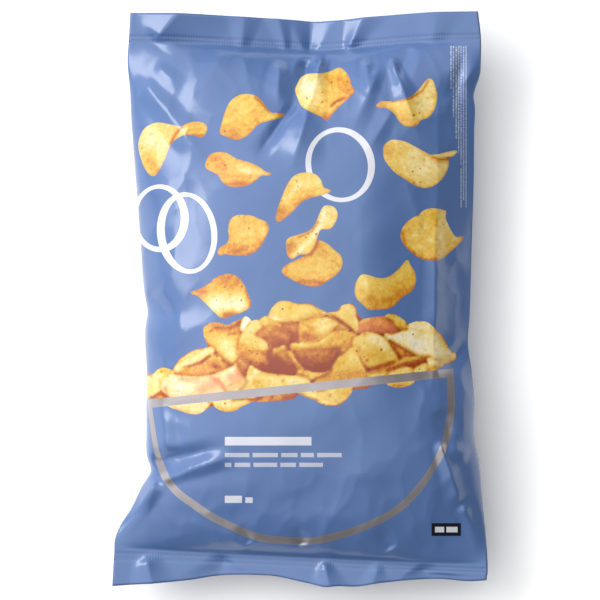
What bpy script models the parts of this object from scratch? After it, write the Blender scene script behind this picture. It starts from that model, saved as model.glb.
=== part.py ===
"""Bag of crisps: a pillow bag of printed film, sealed across both ends, lying on its back.

One closed solid out to the film's outer faces. +X is across the bag, +Y towards its top seal, +Z out of
its printed front. The origin is at the bottom centre of the whole bag. Everything is in metres.
"""

import math

import bmesh
import bpy
import numpy as np

MM = 0.001

# The bag as it lies
THICKNESS = 72 * MM          # table to the crown of the front
FOLD_HEIGHT = 31 * MM        # side folds and end seals above the table
CROWN = THICKNESS - FOLD_HEIGHT
BACK_BULGE = 1.35 * FOLD_HEIGHT   # how far the back would bulge with no table under it
LIP_THICKNESS = 0.8 * MM     # both layers of film in a seal

# Seals, measured up the bag from its middle
TOP_EDGE = 175.5 * MM
TOP_SEAM = 158.5 * MM
BOTTOM_SEAM = -159 * MM
BOTTOM_EDGE = -176 * MM

# Side folds seen from the front: (height up the bag, distance from the middle line)
LEFT_FOLD = (
    (-176, -115.0), (-161, -113.8), (-152, -113.2), (-143, -109.9), (-132, -103.7), (-116, -96.7),
    (-105, -91.2), (-97, -93.6), (-80, -94.0), (-45, -93.8), (-17, -94.6), (-9, -93.4), (5, -95.4),
    (40, -98.0), (80, -101.0), (110, -103.1), (130, -103.9), (145, -105.2), (161, -104.3), (176, -103.5),
)
RIGHT_FOLD = (
    (-176, 114.4), (-160, 115.0), (-150, 114.6), (-120, 111.6), (-98, 109.4), (-87, 107.0), (-60, 106.8),
    (-42, 104.8), (-28, 102.8), (-10, 103.8), (30, 105.0), (75, 106.4), (104, 106.6), (117, 106.9),
    (125, 106.2), (129, 107.3), (136, 109.7), (148, 110.5), (161, 110.3), (176, 108.6),
)
# How far the top seal dips below its ends, and the bottom cut edge rises: (across, distance)
TOP_DIP = (
    (-106, 0.8), (-72, 1.5), (-32, 3.1), (0, 4.6), (10, 5.2), (20, 4.9), (46, 2.8), (78, 0.6), (112, -0.2),
)
BOTTOM_RISE = (
    (-116, 0.1), (-92, 1.8), (-68, 3.8), (-48, 6.6), (-29, 7.2), (-13, 6.2), (-3, 4.0), (8, 1.6), (14, 0.3),
    (23, 0.7), (34, 0.3), (47, 2.2), (70, 4.2), (86, 4.5), (105, 3.2), (116, 3.8),
)

# Section and side profile, as powers of the distance from the middle
SECTION_FLATNESS = 2.4       # over 2 is flatter on top than an ellipse
BODY_ROUNDING = 0.60         # 0.5 is a round side fold, 1 a sharp one
SEAL_ROUNDING = 0.86
PROFILE_FLATNESS = 2.8
PROFILE_ROUNDING = 0.74

# Grid of the film
COLUMNS = 42                 # across each face
BODY_ROWS = 50
LIP_ROWS = 3

# Folds of the front: (start, end, width at start, width at end, height), across and up the bag, in mm.
# A positive height is a ridge, a negative one a valley.
FRONT_FOLDS = (
    ((4, 150), (2, 112), 6, 20, -5.0),         # middle of the top seal, pulled in
    ((8, 152), (-24, 70), 8, 18, 4.0),         # long ridge beside it
    ((54, 152), (72, 88), 6, 16, 3.6),         # right shoulder
    ((30, 152), (22, 96), 5, 13, -2.6),
    ((-60, 150), (-82, 96), 8, 18, 3.2),       # left shoulder
    ((-96, 118), (-58, 68), 12, 16, -2.4),
    ((-82, -104), (-111, -154), 12, 10, 4.2),  # flare down to the left end of the bottom seal
    ((-94, -101), (-40, -88), 8, 12, -3.4),    # pinch in the left side
    ((-88, -92), (-38, -70), 8, 11, 3.0),
    ((84, 62), (82, -40), 12, 14, 2.6),        # edge of the right flank
    ((104, -28), (84, -50), 8, 9, -2.8),       # dent in the right side
    ((84, -96), (112, -152), 8, 9, 3.2),       # ridge down to the right end of the bottom seal
    ((92, -66), (84, -96), 10, 10, -2.2),
    ((6, -158), (0, -138), 7, 12, -2.4),
    ((56, -158), (48, -140), 6, 10, -2.0),
)
BACK_FOLDS = (
    ((-70, 150), (-84, 90), 8, 14, -3.0),
    ((62, 150), (80, 96), 8, 14, -3.0),
    ((-60, -156), (-78, -104), 8, 14, -3.0),
    ((66, -156), (84, -110), 8, 14, -3.0),
    ((0, 152), (4, 118), 8, 14, -2.2),
    ((10, -156), (4, -124), 8, 14, -2.2),
)

FILM_BLUE = (0.10, 0.20, 0.46, 1.0)


def clear_scene():
    for obj in list(bpy.data.objects):
        bpy.data.objects.remove(obj)


def smooth_step(x):
    x = np.clip(x, 0.0, 1.0)
    return x * x * (3 - 2 * x)


def through_points(points, at):
    """A smooth curve through (height, distance) points in millimetres, read at heights in metres."""
    height, value = np.array(points).T * MM
    slope = np.gradient(value, height)
    i = np.clip(np.searchsorted(height, at) - 1, 0, len(height) - 2)
    gap = height[i + 1] - height[i]
    t = np.clip((at - height[i]) / gap, 0.0, 1.0)
    return (
        value[i] * (1 + 2 * t) * (1 - t) ** 2
        + slope[i] * gap * t * (1 - t) ** 2
        + value[i + 1] * t * t * (3 - 2 * t)
        - slope[i + 1] * gap * t * t * (1 - t)
    )


def fold_relief(x, y, folds):
    """How far the film stands out at (x, y): the sum of tent-shaped folds, each tapering along its line."""
    relief = np.zeros_like(x)
    for start, end, width_start, width_end, height in folds:
        (x0, y0), (x1, y1) = np.array(start) * MM, np.array(end) * MM
        length = math.hypot(x1 - x0, y1 - y0)
        along = ((x - x0) * (x1 - x0) + (y - y0) * (y1 - y0)) / length**2
        off = ((x - x0) * (y1 - y0) - (y - y0) * (x1 - x0)) / length
        width = MM * (width_start + (width_end - width_start) * np.clip(along, 0, 1))
        tent = smooth_step(1 - np.abs(off) / width)
        taper = smooth_step(along / 0.25) * smooth_step((1 - along) / 0.45)
        relief += height * MM * tent * taper
    return relief


def seam_wave(x):
    """Height of the top seal above the side folds: a flattened V, low in the middle."""
    return 5 * MM - 9 * MM * np.exp(-(((x - 6 * MM) / (42 * MM)) ** 2))


def bottom_wave(x):
    return 2.5 * MM * np.sin(x / (34 * MM) + 0.8)


def row_heights():
    """Each row's height up the bag, bottom cut edge to top cut edge."""
    bottom_lip = np.linspace(BOTTOM_EDGE, BOTTOM_SEAM, LIP_ROWS + 1)
    turns = np.linspace(-math.pi / 2, math.pi / 2, BODY_ROWS + 1)
    even = np.linspace(-1, 1, BODY_ROWS + 1)
    share = 0.6 * even + 0.4 * np.sin(turns)       # closer together towards the seals
    body = (TOP_SEAM + BOTTOM_SEAM) / 2 + share * (TOP_SEAM - BOTTOM_SEAM) / 2
    top_lip = np.linspace(TOP_SEAM, TOP_EDGE, LIP_ROWS + 1)
    return np.concatenate([bottom_lip, body[1:-1], top_lip])


def even_across(crown, rounding):
    """Positions across a section, -1 to 1, that lie evenly along its curve."""
    xi = np.sin(np.linspace(-math.pi / 2, math.pi / 2, 400))
    z = crown * (1 - np.abs(xi) ** SECTION_FLATNESS) ** rounding
    half_width = 104 * MM
    run = np.concatenate([[0], np.cumsum(np.hypot(np.diff(xi) * half_width, np.diff(z)))])
    return np.interp(np.linspace(0, run[-1], COLUMNS + 1), run, xi)


def film_face(front):
    """The points of one face, as an array of (row, column, xyz), left fold to right fold."""
    heights = row_heights()
    body = np.clip((heights - BOTTOM_SEAM) / (TOP_SEAM - BOTTOM_SEAM), 0, 1)
    fullness = (1 - np.abs(2 * body - 1) ** PROFILE_FLATNESS) ** PROFILE_ROUNDING
    bulge = CROWN if front else BACK_BULGE
    rounding = SEAL_ROUNDING + (BODY_ROUNDING - SEAL_ROUNDING) * smooth_step(1.25 * fullness - 0.1)
    xi = np.stack([even_across(CROWN * f, r) for f, r in zip(fullness, rounding)])
    y = np.repeat(heights[:, None], COLUMNS + 1, axis=1)
    left, right = through_points(LEFT_FOLD, y), through_points(RIGHT_FOLD, y)
    x = (left + right) / 2 + xi * (right - left) / 2

    section = np.clip(1 - np.abs(xi) ** SECTION_FLATNESS, 0, 1) ** rounding[:, None]
    swell = bulge * fullness[:, None] * section
    relief = fold_relief(x, y, FRONT_FOLDS if front else BACK_FOLDS)
    swell = swell + relief * smooth_step(swell / (9 * MM))
    swell = np.maximum(swell, LIP_THICKNESS / 2 * (np.abs(xi) < 0.999))

    # The seals wave, and the waves die out into the body
    to_top = smooth_step((y - 60 * MM) / (TOP_SEAM - 60 * MM))
    to_bottom = smooth_step((-y - 90 * MM) / (-BOTTOM_SEAM - 90 * MM))
    middle = FOLD_HEIGHT + seam_wave(x) * to_top + bottom_wave(x) * to_bottom
    z = middle + (swell if front else -swell)
    if not front:
        z = np.maximum(z, 0.0)     # the back lies flat on the table

    up = smooth_step((y - 40 * MM) / (TOP_SEAM - 40 * MM))
    down = smooth_step((BOTTOM_SEAM - y) / (BOTTOM_SEAM - BOTTOM_EDGE))
    y = y - through_points(TOP_DIP, x) * up + through_points(BOTTOM_RISE, x) * down
    return np.stack([x, y, z], axis=-1)


def face_grid(bm, points, outwards_up):
    """A grid of the face's points in bm. Its faces point up, or down for the back."""
    rows, columns = points.shape[:2]
    made = bmesh.ops.create_grid(bm, x_segments=columns - 1, y_segments=rows - 1, size=1.0)["verts"]
    for vert, place in zip(made, points.reshape(-1, 3)):
        vert.co = place
    if not outwards_up:
        faces = {face for vert in made for face in vert.link_faces}
        bmesh.ops.reverse_faces(bm, faces=list(faces))
    return made, columns


def bag_mesh():
    bm = bmesh.new()
    front, columns = face_grid(bm, film_face(True), True)
    back, _ = face_grid(bm, film_face(False), False)
    for end in (0, -columns):
        stop = end + columns or None
        close_lip(bm, front[end:stop], back[end:stop], up=end != 0)
    bmesh.ops.remove_doubles(bm, verts=bm.verts, dist=0.02 * MM)
    bmesh.ops.recalc_face_normals(bm, faces=bm.faces)
    mesh = bpy.data.meshes.new("bag")
    bm.to_mesh(mesh)
    bm.free()
    return mesh


def close_lip(bm, front, back, up):
    """Faces across the thickness of a cut edge."""
    for i in range(len(front) - 1):
        corners = [front[i], front[i + 1], back[i + 1], back[i]]
        bm.faces.new(corners[::-1] if up else corners)


def film_material():
    material = bpy.data.materials.new("film")
    material.use_nodes = True
    shader = material.node_tree.nodes["Principled BSDF"]
    shader.inputs["Base Color"].default_value = FILM_BLUE
    shader.inputs["Roughness"].default_value = 0.3
    shader.inputs["Metallic"].default_value = 0.0
    return material


def build_bag():
    mesh = bag_mesh()
    mesh.materials.append(film_material())
    mesh.shade_smooth()
    bag = bpy.data.objects.new("bag", mesh)
    bpy.context.scene.collection.objects.link(bag)
    return bag


clear_scene()
build_bag()
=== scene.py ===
"""Bag of crisps: the looks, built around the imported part.

The film is one closed tube, fine enough to carry its creases and the print. The print is painted on the film:
rings, a bowl and bars as shapes in the material, and the crisps as shapes with drawn shading.
"""

import functools
import math

import bmesh
import bpy
import numpy as np
from bpy.props import FloatProperty, FloatVectorProperty, PointerProperty
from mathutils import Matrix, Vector


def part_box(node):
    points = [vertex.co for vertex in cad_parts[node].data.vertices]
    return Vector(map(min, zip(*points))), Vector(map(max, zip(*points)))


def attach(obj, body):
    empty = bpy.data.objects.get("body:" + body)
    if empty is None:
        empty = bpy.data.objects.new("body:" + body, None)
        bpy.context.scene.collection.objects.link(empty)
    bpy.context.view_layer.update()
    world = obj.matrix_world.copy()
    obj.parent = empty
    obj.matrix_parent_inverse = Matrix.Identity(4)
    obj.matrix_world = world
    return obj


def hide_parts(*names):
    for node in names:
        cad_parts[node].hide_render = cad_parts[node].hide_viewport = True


bl_info = {
    "name": "Bag of crisps",
    "version": (1, 0, 0),
    "blender": (4, 5, 0),
    "location": "3D View > Sidebar > Crisps",
    "description": "Builds a printed pillow bag of crisps lying on its back",
    "category": "Object",
}

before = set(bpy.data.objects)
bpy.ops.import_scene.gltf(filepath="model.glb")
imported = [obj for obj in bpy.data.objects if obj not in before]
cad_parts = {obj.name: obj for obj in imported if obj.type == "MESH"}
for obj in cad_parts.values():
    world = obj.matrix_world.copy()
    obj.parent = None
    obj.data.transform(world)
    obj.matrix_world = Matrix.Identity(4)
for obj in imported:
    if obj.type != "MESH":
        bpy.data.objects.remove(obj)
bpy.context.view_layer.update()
LOW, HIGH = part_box("bag")

MM = 0.001
TURN = 2 * math.pi

# --- The bag as it lies: +X across it, +Y towards the top seal, +Z out of the front ---------------------------

FOLD_HEIGHT = 31 * MM                     # side folds and seals above the table
CROWN = HIGH.z - FOLD_HEIGHT
BACK_BULGE = 1.35 * FOLD_HEIGHT           # how far the back would bulge with no table under it
LIP = 0.5 * MM                            # both layers of film in a seal

TOP_EDGE, BOTTOM_EDGE = 175.5 * MM, -176 * MM
TOP_LINE, BOTTOM_LINE = 161 * MM, -163 * MM        # the pressed lines of the seals
TOP_BODY, BOTTOM_BODY = 157 * MM, -157.5 * MM      # where the two faces part
SEAL_LINES = (TOP_LINE, TOP_LINE - 2.6 * MM, BOTTOM_LINE, BOTTOM_LINE + 2.4 * MM)
PRESS_DEPTH, PRESS_WIDTH = 0.45 * MM, 0.8 * MM     # of each pressed line
SEAL_RISE, SEAL_DIP, DIP_X, DIP_WIDTH = 5 * MM, 9 * MM, 6 * MM, 42 * MM    # the top seal's V
BOTTOM_WAVE, BOTTOM_WAVE_RUN = 2.5 * MM, 34 * MM
HALF_WIDTH = 104 * MM                              # of the body, for spacing the columns
BODY_SKEW = 0.045                                  # tilt of the body's lower end

# Side folds from the front: (height up the bag, distance from the middle line), in mm
LEFT_FOLD = (
    (-176, -115.0), (-161, -113.8), (-152, -113.2), (-143, -109.9), (-132, -103.7), (-116, -96.7),
    (-105, -91.2), (-97, -93.6), (-80, -94.0), (-45, -93.8), (-17, -94.6), (-9, -93.4), (5, -95.4),
    (40, -98.0), (80, -101.0), (110, -103.1), (130, -103.9), (145, -105.2), (161, -104.3), (176, -103.5),
)
RIGHT_FOLD = (
    (-176, 114.4), (-160, 115.0), (-150, 114.6), (-120, 111.6), (-98, 109.4), (-87, 107.0), (-60, 106.8),
    (-42, 104.8), (-28, 102.8), (-10, 103.8), (30, 105.0), (75, 106.4), (104, 106.6), (117, 106.9),
    (125, 106.2), (129, 107.3), (136, 109.7), (148, 110.5), (161, 110.3), (176, 108.6),
)
# How far the top seal dips below its ends, and the bottom cut edge rises: (across, distance), in mm
TOP_DIP = (
    (-106, 0.8), (-72, 1.5), (-32, 3.1), (0, 4.6), (10, 5.2), (20, 4.9), (46, 2.8), (78, 0.6), (112, -0.2),
)
BOTTOM_RISE = (
    (-116, 0.1), (-92, 1.8), (-68, 3.8), (-48, 6.6), (-29, 7.2), (-13, 6.2), (-3, 4.0), (8, 1.6), (14, 0.3),
    (23, 0.7), (34, 0.3), (47, 2.2), (70, 4.2), (86, 4.5), (105, 3.2), (116, 3.8),
)

SECTION_FLATNESS = 2.4
BODY_ROUNDING, SEAL_ROUNDING = 0.60, 0.86
PROFILE_FLATNESS, PROFILE_ROUNDING = 2.8, 0.74
FLANK_CREASE, FLANK_DROP = 0.78, 0.19     # of the right flank: its crease across the section, and its drop

FRONT_COLUMNS = 228
BACK_STEP = 3                             # front columns to one of the plainer back
# Row spacing, as (height up the bag, spacing), in mm
ROW_SPACING = (
    (-176, 1.6), (-168, 1.0), (-150, 1.0), (-140, 1.7), (-76, 1.7), (-70, 1.0), (150, 1.0), (164, 0.9),
    (167, 1.5), (176, 1.6),
)

# Crumples of the film: (facet size, height, depth they are sunk by, seed of the front), the lengths in mm
CRUMPLES = ((34, 0.9, 0.5, 5), (15, 0.32, 0.15, 7))

# Folds of the front: (start, end, width at start, width at end, height, crest, start taper, end taper).
# Places and widths in mm. A crest of 1 is a sharp line, 0 a round one. A taper is a share of the length.
FRONT_FOLDS = (
    # fanning down from the top seal
    ((4, 152), (1, 104), 5, 22, -4.6, 0.5, 0.12, 0.5),
    ((14, 156), (-6, 74), 5, 22, 5.4, 0.95, 0.10, 0.3),
    ((0, 126), (-28, 84), 4, 9, -2.8, 0.9, 0.2, 0.3),
    ((68, 156), (56, 128), 6, 12, -2.2, 0.8, 0.15, 0.5),
    ((88, -90), (104, -96), 7, 8, 2.2, 0.4, 0.3, 0.3),
    ((-12, 150), (-14, 116), 6, 12, 3.0, 0.8, 0.2, 0.5),
    ((40, 150), (42, 124), 4, 9, 2.2, 0.9, 0.2, 0.5),
    ((55, 149), (74, 92), 3, 18, 4.0, 0.9, 0.1, 0.6),
    ((50, 146), (26, 92), 5, 12, 2.2, 0.6, 0.2, 0.6),
    ((58, 120), (38, 86), 7, 9, 1.8, 0.8, 0.3, 0.5),
    # left shoulder and left side
    ((-100, 138), (-48, 74), 9, 15, 3.2, 0.8, 0.15, 0.45),
    ((-90, 146), (-70, 126), 7, 9, 1.6, 0.5, 0.3, 0.5),
    ((-94, 6), (-76, -14), 7, 9, -1.8, 0.5, 0.2, 0.5),
    # pinch and flare at the lower left
    ((-92, -99), (-38, -88), 7, 10, -3.4, 0.8, 0.1, 0.5),
    ((-86, -112), (-40, -93), 6, 9, 3.4, 1.0, 0.15, 0.3),
    ((-86, -110), (-113, -152), 9, 8, 5.0, 1.0, 0.15, 0.2),
    ((-80, -96), (-84, -60), 8, 10, 2.2, 0.5, 0.3, 0.5),
    # right flank, its dents and the ridge down to the corner
    ((82, 66), (81, -44), 7, 9, 1.2, 0.9, 0.25, 0.3),
    ((104, -28), (82, -46), 8, 9, -2.8, 0.6, 0.1, 0.5),
    ((84, -66), (92, -86), 9, 9, -2.4, 0.3, 0.3, 0.4),
    ((84, -86), (98, -124), 5, 10, 3.4, 1.0, 0.1, 0.2),
    ((98, -122), (113, -150), 6, 7, 3.0, 1.0, 0.15, 0.2),
    ((100, 152), (94, 116), 5, 9, -3.0, 0.7, 0.1, 0.4),
    ((110, 146), (98, 128), 5, 7, 3.0, 1.0, 0.1, 0.4),
    # up from the bottom seal
    ((2, -150), (-2, -136), 6, 10, -2.2, 0.5, 0.1, 0.6),
    ((56, -150), (46, -136), 6, 11, -2.0, 0.5, 0.1, 0.6),
    ((-30, -150), (-38, -138), 6, 10, -1.6, 0.5, 0.1, 0.6),
)
BACK_FOLDS = (
    ((-70, 150), (-84, 90), 8, 14, -3.0, 0.7, 0.1, 0.5),
    ((62, 150), (80, 96), 8, 14, -3.0, 0.7, 0.1, 0.5),
    ((-60, -150), (-78, -104), 8, 14, -3.0, 0.7, 0.1, 0.5),
    ((66, -150), (84, -110), 8, 14, -3.0, 0.7, 0.1, 0.5),
    ((0, 150), (4, 118), 8, 14, -2.2, 0.7, 0.1, 0.5),
    ((10, -150), (4, -124), 8, 14, -2.2, 0.7, 0.1, 0.5),
)
# Waves of the loose film past the seals, on both faces at once
LIP_FOLDS = (
    ((-90, 157), (-72, 178), 16, 30, 6.0, 0.9, 0.3, 0.0),
    ((6, 154), (7, 178), 3, 16, -3.4, 0.8, 0.3, 0.0),
    ((28, 154), (40, 178), 3, 15, 3.2, 0.8, 0.3, 0.0),
    ((-36, 154), (-34, 178), 4, 14, 1.6, 0.5, 0.3, 0.0),
    ((-8, 154), (-14, 178), 3, 10, 1.6, 0.5, 0.3, 0.0),
    ((80, 154), (84, 178), 6, 20, 1.4, 0.4, 0.3, 0.0),
    ((14, -158), (18, -178), 4, 15, 3.4, 0.7, 0.3, 0.0),
    ((-46, -158), (-50, -178), 6, 26, -2.6, 0.5, 0.3, 0.0),
    ((-95, -160), (-90, -178), 8, 18, 4.0, 0.8, 0.3, 0.0),
    ((74, -158), (80, -178), 6, 26, -2.2, 0.5, 0.3, 0.0),
    ((48, -158), (44, -178), 4, 12, 1.4, 0.6, 0.3, 0.0),
)


def smooth_step(x):
    x = np.clip(x, 0.0, 1.0)
    return x * x * (3 - 2 * x)


def through_points(points, at):
    """A smooth curve through (height, distance) points in mm, read at heights in metres."""
    height, value = np.array(points).T * MM
    slope = np.gradient(value, height)
    i = np.clip(np.searchsorted(height, at) - 1, 0, len(height) - 2)
    gap = height[i + 1] - height[i]
    t = np.clip((at - height[i]) / gap, 0.0, 1.0)
    return (
        value[i] * (1 + 2 * t) * (1 - t) ** 2
        + slope[i] * gap * t * (1 - t) ** 2
        + value[i + 1] * t * t * (3 - 2 * t)
        - slope[i + 1] * gap * t * t * (1 - t)
    )


def fold_relief(x, y, folds):
    """How far the film stands out at (x, y), in metres: a sum of ridges and valleys along straight lines."""
    relief = np.zeros_like(x)
    for start, end, wide_start, wide_end, height, crest, start_taper, end_taper in folds:
        (x0, y0), (x1, y1) = np.array(start) * MM, np.array(end) * MM
        length = math.hypot(x1 - x0, y1 - y0)
        along = ((x - x0) * (x1 - x0) + (y - y0) * (y1 - y0)) / length**2
        off = ((x - x0) * (y1 - y0) - (y - y0) * (x1 - x0)) / length
        width = MM * (wide_start + (wide_end - wide_start) * np.clip(along, 0, 1))
        near = np.clip(1 - np.abs(off) / width, 0, 1)
        profile = (1 - crest) * smooth_step(near) + crest * near**1.5
        taper = smooth_step(along / start_taper)
        if end_taper:
            taper = taper * smooth_step((1 - along) / end_taper)
        relief += height * MM * profile * taper
    return relief


def crumple(x, y, cell, seed):
    """Soft facets meeting in ridges, 0 in a facet's middle to about 1 on a ridge."""
    draw = np.random.default_rng(seed)
    xs = np.arange(-150 * MM, 150 * MM, cell)
    ys = np.arange(-200 * MM, 200 * MM, cell)
    sites = np.stack(np.meshgrid(xs, ys), axis=-1).reshape(-1, 2)
    sites = sites + draw.uniform(-0.45, 0.45, sites.shape) * cell
    nearest = np.full(x.shape, np.inf)
    for site_x, site_y in sites:
        nearest = np.minimum(nearest, (x - site_x) ** 2 + (y - site_y) ** 2)
    return nearest / (0.55 * cell) ** 2


def slow_noise(x, y, wave, seed, octaves=3):
    """Smooth noise between about -1 and 1, from a few crossed sine waves."""
    draw = np.random.default_rng(seed)
    total = np.zeros_like(x)
    for octave in range(octaves):
        for _ in range(4):
            turn = draw.uniform(0, TURN)
            shift = draw.uniform(0, TURN)
            step = TURN / (wave / 1.7**octave) * draw.uniform(0.75, 1.3)
            total += 0.6**octave * np.sin(step * (x * math.cos(turn) + y * math.sin(turn)) + shift)
    return total / 4


def seam_wave(x):
    """Height of the top seal above the side folds: a flattened V, low in the middle."""
    return SEAL_RISE - SEAL_DIP * np.exp(-(((x - DIP_X) / DIP_WIDTH) ** 2))


def bottom_wave(x):
    """Height of the bottom seal above the side folds."""
    return BOTTOM_WAVE * np.sin(x / BOTTOM_WAVE_RUN + 0.8)


def row_heights():
    """Each row's height up the bag, bottom cut edge to top cut edge."""
    height, spacing = np.array(ROW_SPACING).T * MM
    fine = np.linspace(BOTTOM_EDGE, TOP_EDGE, 4000)
    count = np.concatenate([[0], np.cumsum(np.diff(fine) / np.interp(fine, height, spacing)[1:])])
    return np.interp(np.linspace(0, count[-1], round(count[-1]) + 1), count, fine)


def across_section(share, crown, rounding):
    """Positions across a section, -1 to 1, whose shares of the way round its curve are given."""
    xi = np.sin(np.linspace(-math.pi / 2, math.pi / 2, 400))
    z = crown * (1 - np.abs(xi) ** SECTION_FLATNESS) ** rounding
    run = np.concatenate([[0], np.cumsum(np.hypot(np.diff(xi) * HALF_WIDTH, np.diff(z)))])
    return np.interp(share * run[-1], run, xi)


def flat_flank(section, xi, y, rounding):
    """The section with its right flank drawn flat, from a crease down to the side fold."""
    share = smooth_step((y + 80 * MM) / (45 * MM)) * smooth_step((145 * MM - y) / (40 * MM))
    section = section * (1 - FLANK_DROP * share * smooth_step((xi - 0.3) / (FLANK_CREASE - 0.3)))
    crease = (1 - FLANK_CREASE**SECTION_FLATNESS) ** rounding * (1 - FLANK_DROP * share)
    chord = crease * (1 - xi) / (1 - FLANK_CREASE)
    return np.where(xi > FLANK_CREASE, section + (np.minimum(section, chord) - section) * share, section)


def film_face(heights, share, front):
    """One face of the film as an array of (row, column, xyz). share runs from 0, left fold, to 1, right fold."""
    body = np.clip((heights - BOTTOM_BODY) / (TOP_BODY - BOTTOM_BODY), 0, 1)
    fullness = (1 - np.abs(2 * body - 1) ** PROFILE_FLATNESS) ** PROFILE_ROUNDING
    rounding = SEAL_ROUNDING + (BODY_ROUNDING - SEAL_ROUNDING) * smooth_step(1.25 * fullness - 0.1)
    xi = np.stack([across_section(share, CROWN * f, r) for f, r in zip(fullness, rounding)])
    y = np.repeat(heights[:, None], len(share), axis=1)
    left, right = through_points(LEFT_FOLD, y), through_points(RIGHT_FOLD, y)
    x = (left + right) / 2 + xi * (right - left) / 2

    section = np.clip(1 - np.abs(xi) ** SECTION_FLATNESS, 0, 1) ** rounding[:, None]
    if front:
        section = flat_flank(section, xi, y, rounding[:, None])
    swell = (CROWN if front else BACK_BULGE) * fullness[:, None] * section
    relief = fold_relief(x, y, FRONT_FOLDS if front else BACK_FOLDS)
    near_seal = smooth_step((np.abs(y) - 80 * MM) / (60 * MM))
    near_side = smooth_step((np.abs(xi) - 0.45) / 0.5)
    loose = 0.25 + 0.75 * np.maximum(near_seal, near_side)
    warp_x = x + 5 * MM * slow_noise(x, y, 60 * MM, 3)
    warp_y = y * 0.8 + 5 * MM * slow_noise(x, y, 60 * MM, 4)
    for cell, height, sunk, seed in CRUMPLES:
        facets = crumple(warp_x, warp_y, cell * MM, seed if front else seed + 1)
        relief += loose * MM * (height * facets - sunk)
    relief += 0.5 * MM * slow_noise(x, y, 70 * MM, 9 if front else 10)
    swell = swell + relief * smooth_step(swell / (9 * MM))
    parted = (heights > BOTTOM_BODY) & (heights < TOP_BODY)
    swell = np.maximum(swell, LIP / 2 * ((np.abs(xi) < 0.999) | parted[:, None]))
    swell = np.where(np.abs(xi) > 0.9999, 0.0, swell)

    # The seals wave, and the waves die out into the body
    to_top = smooth_step((y - 60 * MM) / (TOP_BODY - 60 * MM))
    to_bottom = smooth_step((-y - 90 * MM) / (-BOTTOM_BODY - 90 * MM))
    middle = FOLD_HEIGHT + seam_wave(x) * to_top + bottom_wave(x) * to_bottom
    middle = middle + fold_relief(x, y, LIP_FOLDS)
    z = middle + (swell if front else -swell)
    if not front:
        z = np.maximum(z, 0.0)

    for line in SEAL_LINES:
        press = PRESS_DEPTH * np.exp(-(((y - line) / PRESS_WIDTH) ** 2))
        z = z - press * np.where(np.abs(xi) < 0.999, 1, 0)
    up = smooth_step((y - 40 * MM) / (TOP_LINE - 40 * MM))
    past_line = smooth_step((BOTTOM_LINE - y) / (BOTTOM_LINE - BOTTOM_EDGE))
    to_line = smooth_step((BOTTOM_LINE + 4 * MM - y) / (BOTTOM_LINE - BOTTOM_EDGE + 4 * MM))
    skew = x * BODY_SKEW * to_bottom * (1 - to_line)
    y = y - through_points(TOP_DIP, x) * up + through_points(BOTTOM_RISE, x) * past_line - skew
    return np.stack([x, y, z], axis=-1)


FLOOR_GAP = 0.5 * MM                      # keeps the floor under the back seam

# The lap seam up the back
SEAM_X, SEAM_WIDTH, SEAM_COLUMNS = 6 * MM, 12 * MM, 9
SEAM_BOTTOM, SEAM_TOP, SEAM_STEP = -164 * MM, 162 * MM, 2 * MM
SEAM_GAP, SEAM_FILM, SEAM_DEEPEST = 0.02 * MM, 0.25 * MM, -0.4 * MM


def close_cut_edge(bm, row, upwards):
    """Faces between the two layers of film along a cut edge. row runs round the tube from the left fold."""
    front, back = row[:FRONT_COLUMNS + 1], row[FRONT_COLUMNS:][::-1]
    for i in range(len(back) - 1):
        corners = front[i * BACK_STEP:(i + 1) * BACK_STEP + 1]
        if i < len(back) - 2:
            corners.append(back[i + 1])
        if i > 0:
            corners.append(back[i])
        bm.faces.new(corners if upwards else corners[::-1])


def film_mesh():
    """The tube of film: a grid wrapped round the bag, its long edges merged and its two cut edges filled."""
    heights = row_heights()
    front_share = np.linspace(0, 1, FRONT_COLUMNS + 1)
    back_share = front_share[::-BACK_STEP]
    front = film_face(heights, front_share, True)
    back = film_face(heights, back_share, False)
    around = np.concatenate([front, back[:, 1:]], axis=1)
    rows, columns = around.shape[:2]

    bm = bmesh.new()
    uv = bm.loops.layers.uv.new("OFBake")
    points = around.reshape(-1, 3)
    printed = film_print(points, np.tile(np.arange(columns) <= FRONT_COLUMNS, rows))
    printed["film_run"] = np.stack([points[:, 0], np.repeat(heights, columns), points[:, 2]], axis=-1) / MM
    for name, values in printed.items():
        (bm.verts.layers.float_vector if values.ndim == 2 else bm.verts.layers.float).new(name)
    made = bmesh.ops.create_grid(bm, x_segments=columns - 1, y_segments=rows - 1, size=1.0)["verts"]
    share = np.concatenate([front_share * 0.48 + 0.01, 0.99 - back_share[1:] * 0.48])
    up = 0.01 + 0.98 * (heights - BOTTOM_EDGE) / (TOP_EDGE - BOTTOM_EDGE)
    flat = np.stack(np.meshgrid(share, up), axis=-1).reshape(-1, 2)
    for index, vert in enumerate(made):
        vert.index = index
        for loop in vert.link_loops:
            loop[uv].uv = flat[index]
    for vert, place in zip(made, points):
        vert.co = place
    for name, values in printed.items():
        layer = (bm.verts.layers.float_vector if values.ndim == 2 else bm.verts.layers.float)[name]
        for vert, value in zip(made, values.tolist()):
            vert[layer] = value
    for row, upwards in ((made[:columns], False), (made[-columns:], True)):
        close_cut_edge(bm, row, upwards)
    edges = [v for i, v in enumerate(made) if i % columns in (0, columns - 1)]
    bmesh.ops.remove_doubles(bm, verts=edges, dist=1e-6)
    mesh = bpy.data.meshes.new("bag_film")
    bm.to_mesh(mesh)
    bm.free()
    mesh.shade_smooth()
    return mesh


def back_height(film, x, y):
    """Height of the film's back over (x, y)."""
    hit, place, _, _ = film.ray_cast(Vector((x, y, -50 * MM)), Vector((0, 0, 1)))
    if not hit:
        raise RuntimeError("The back seam runs past the film.")
    return place.z


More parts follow.
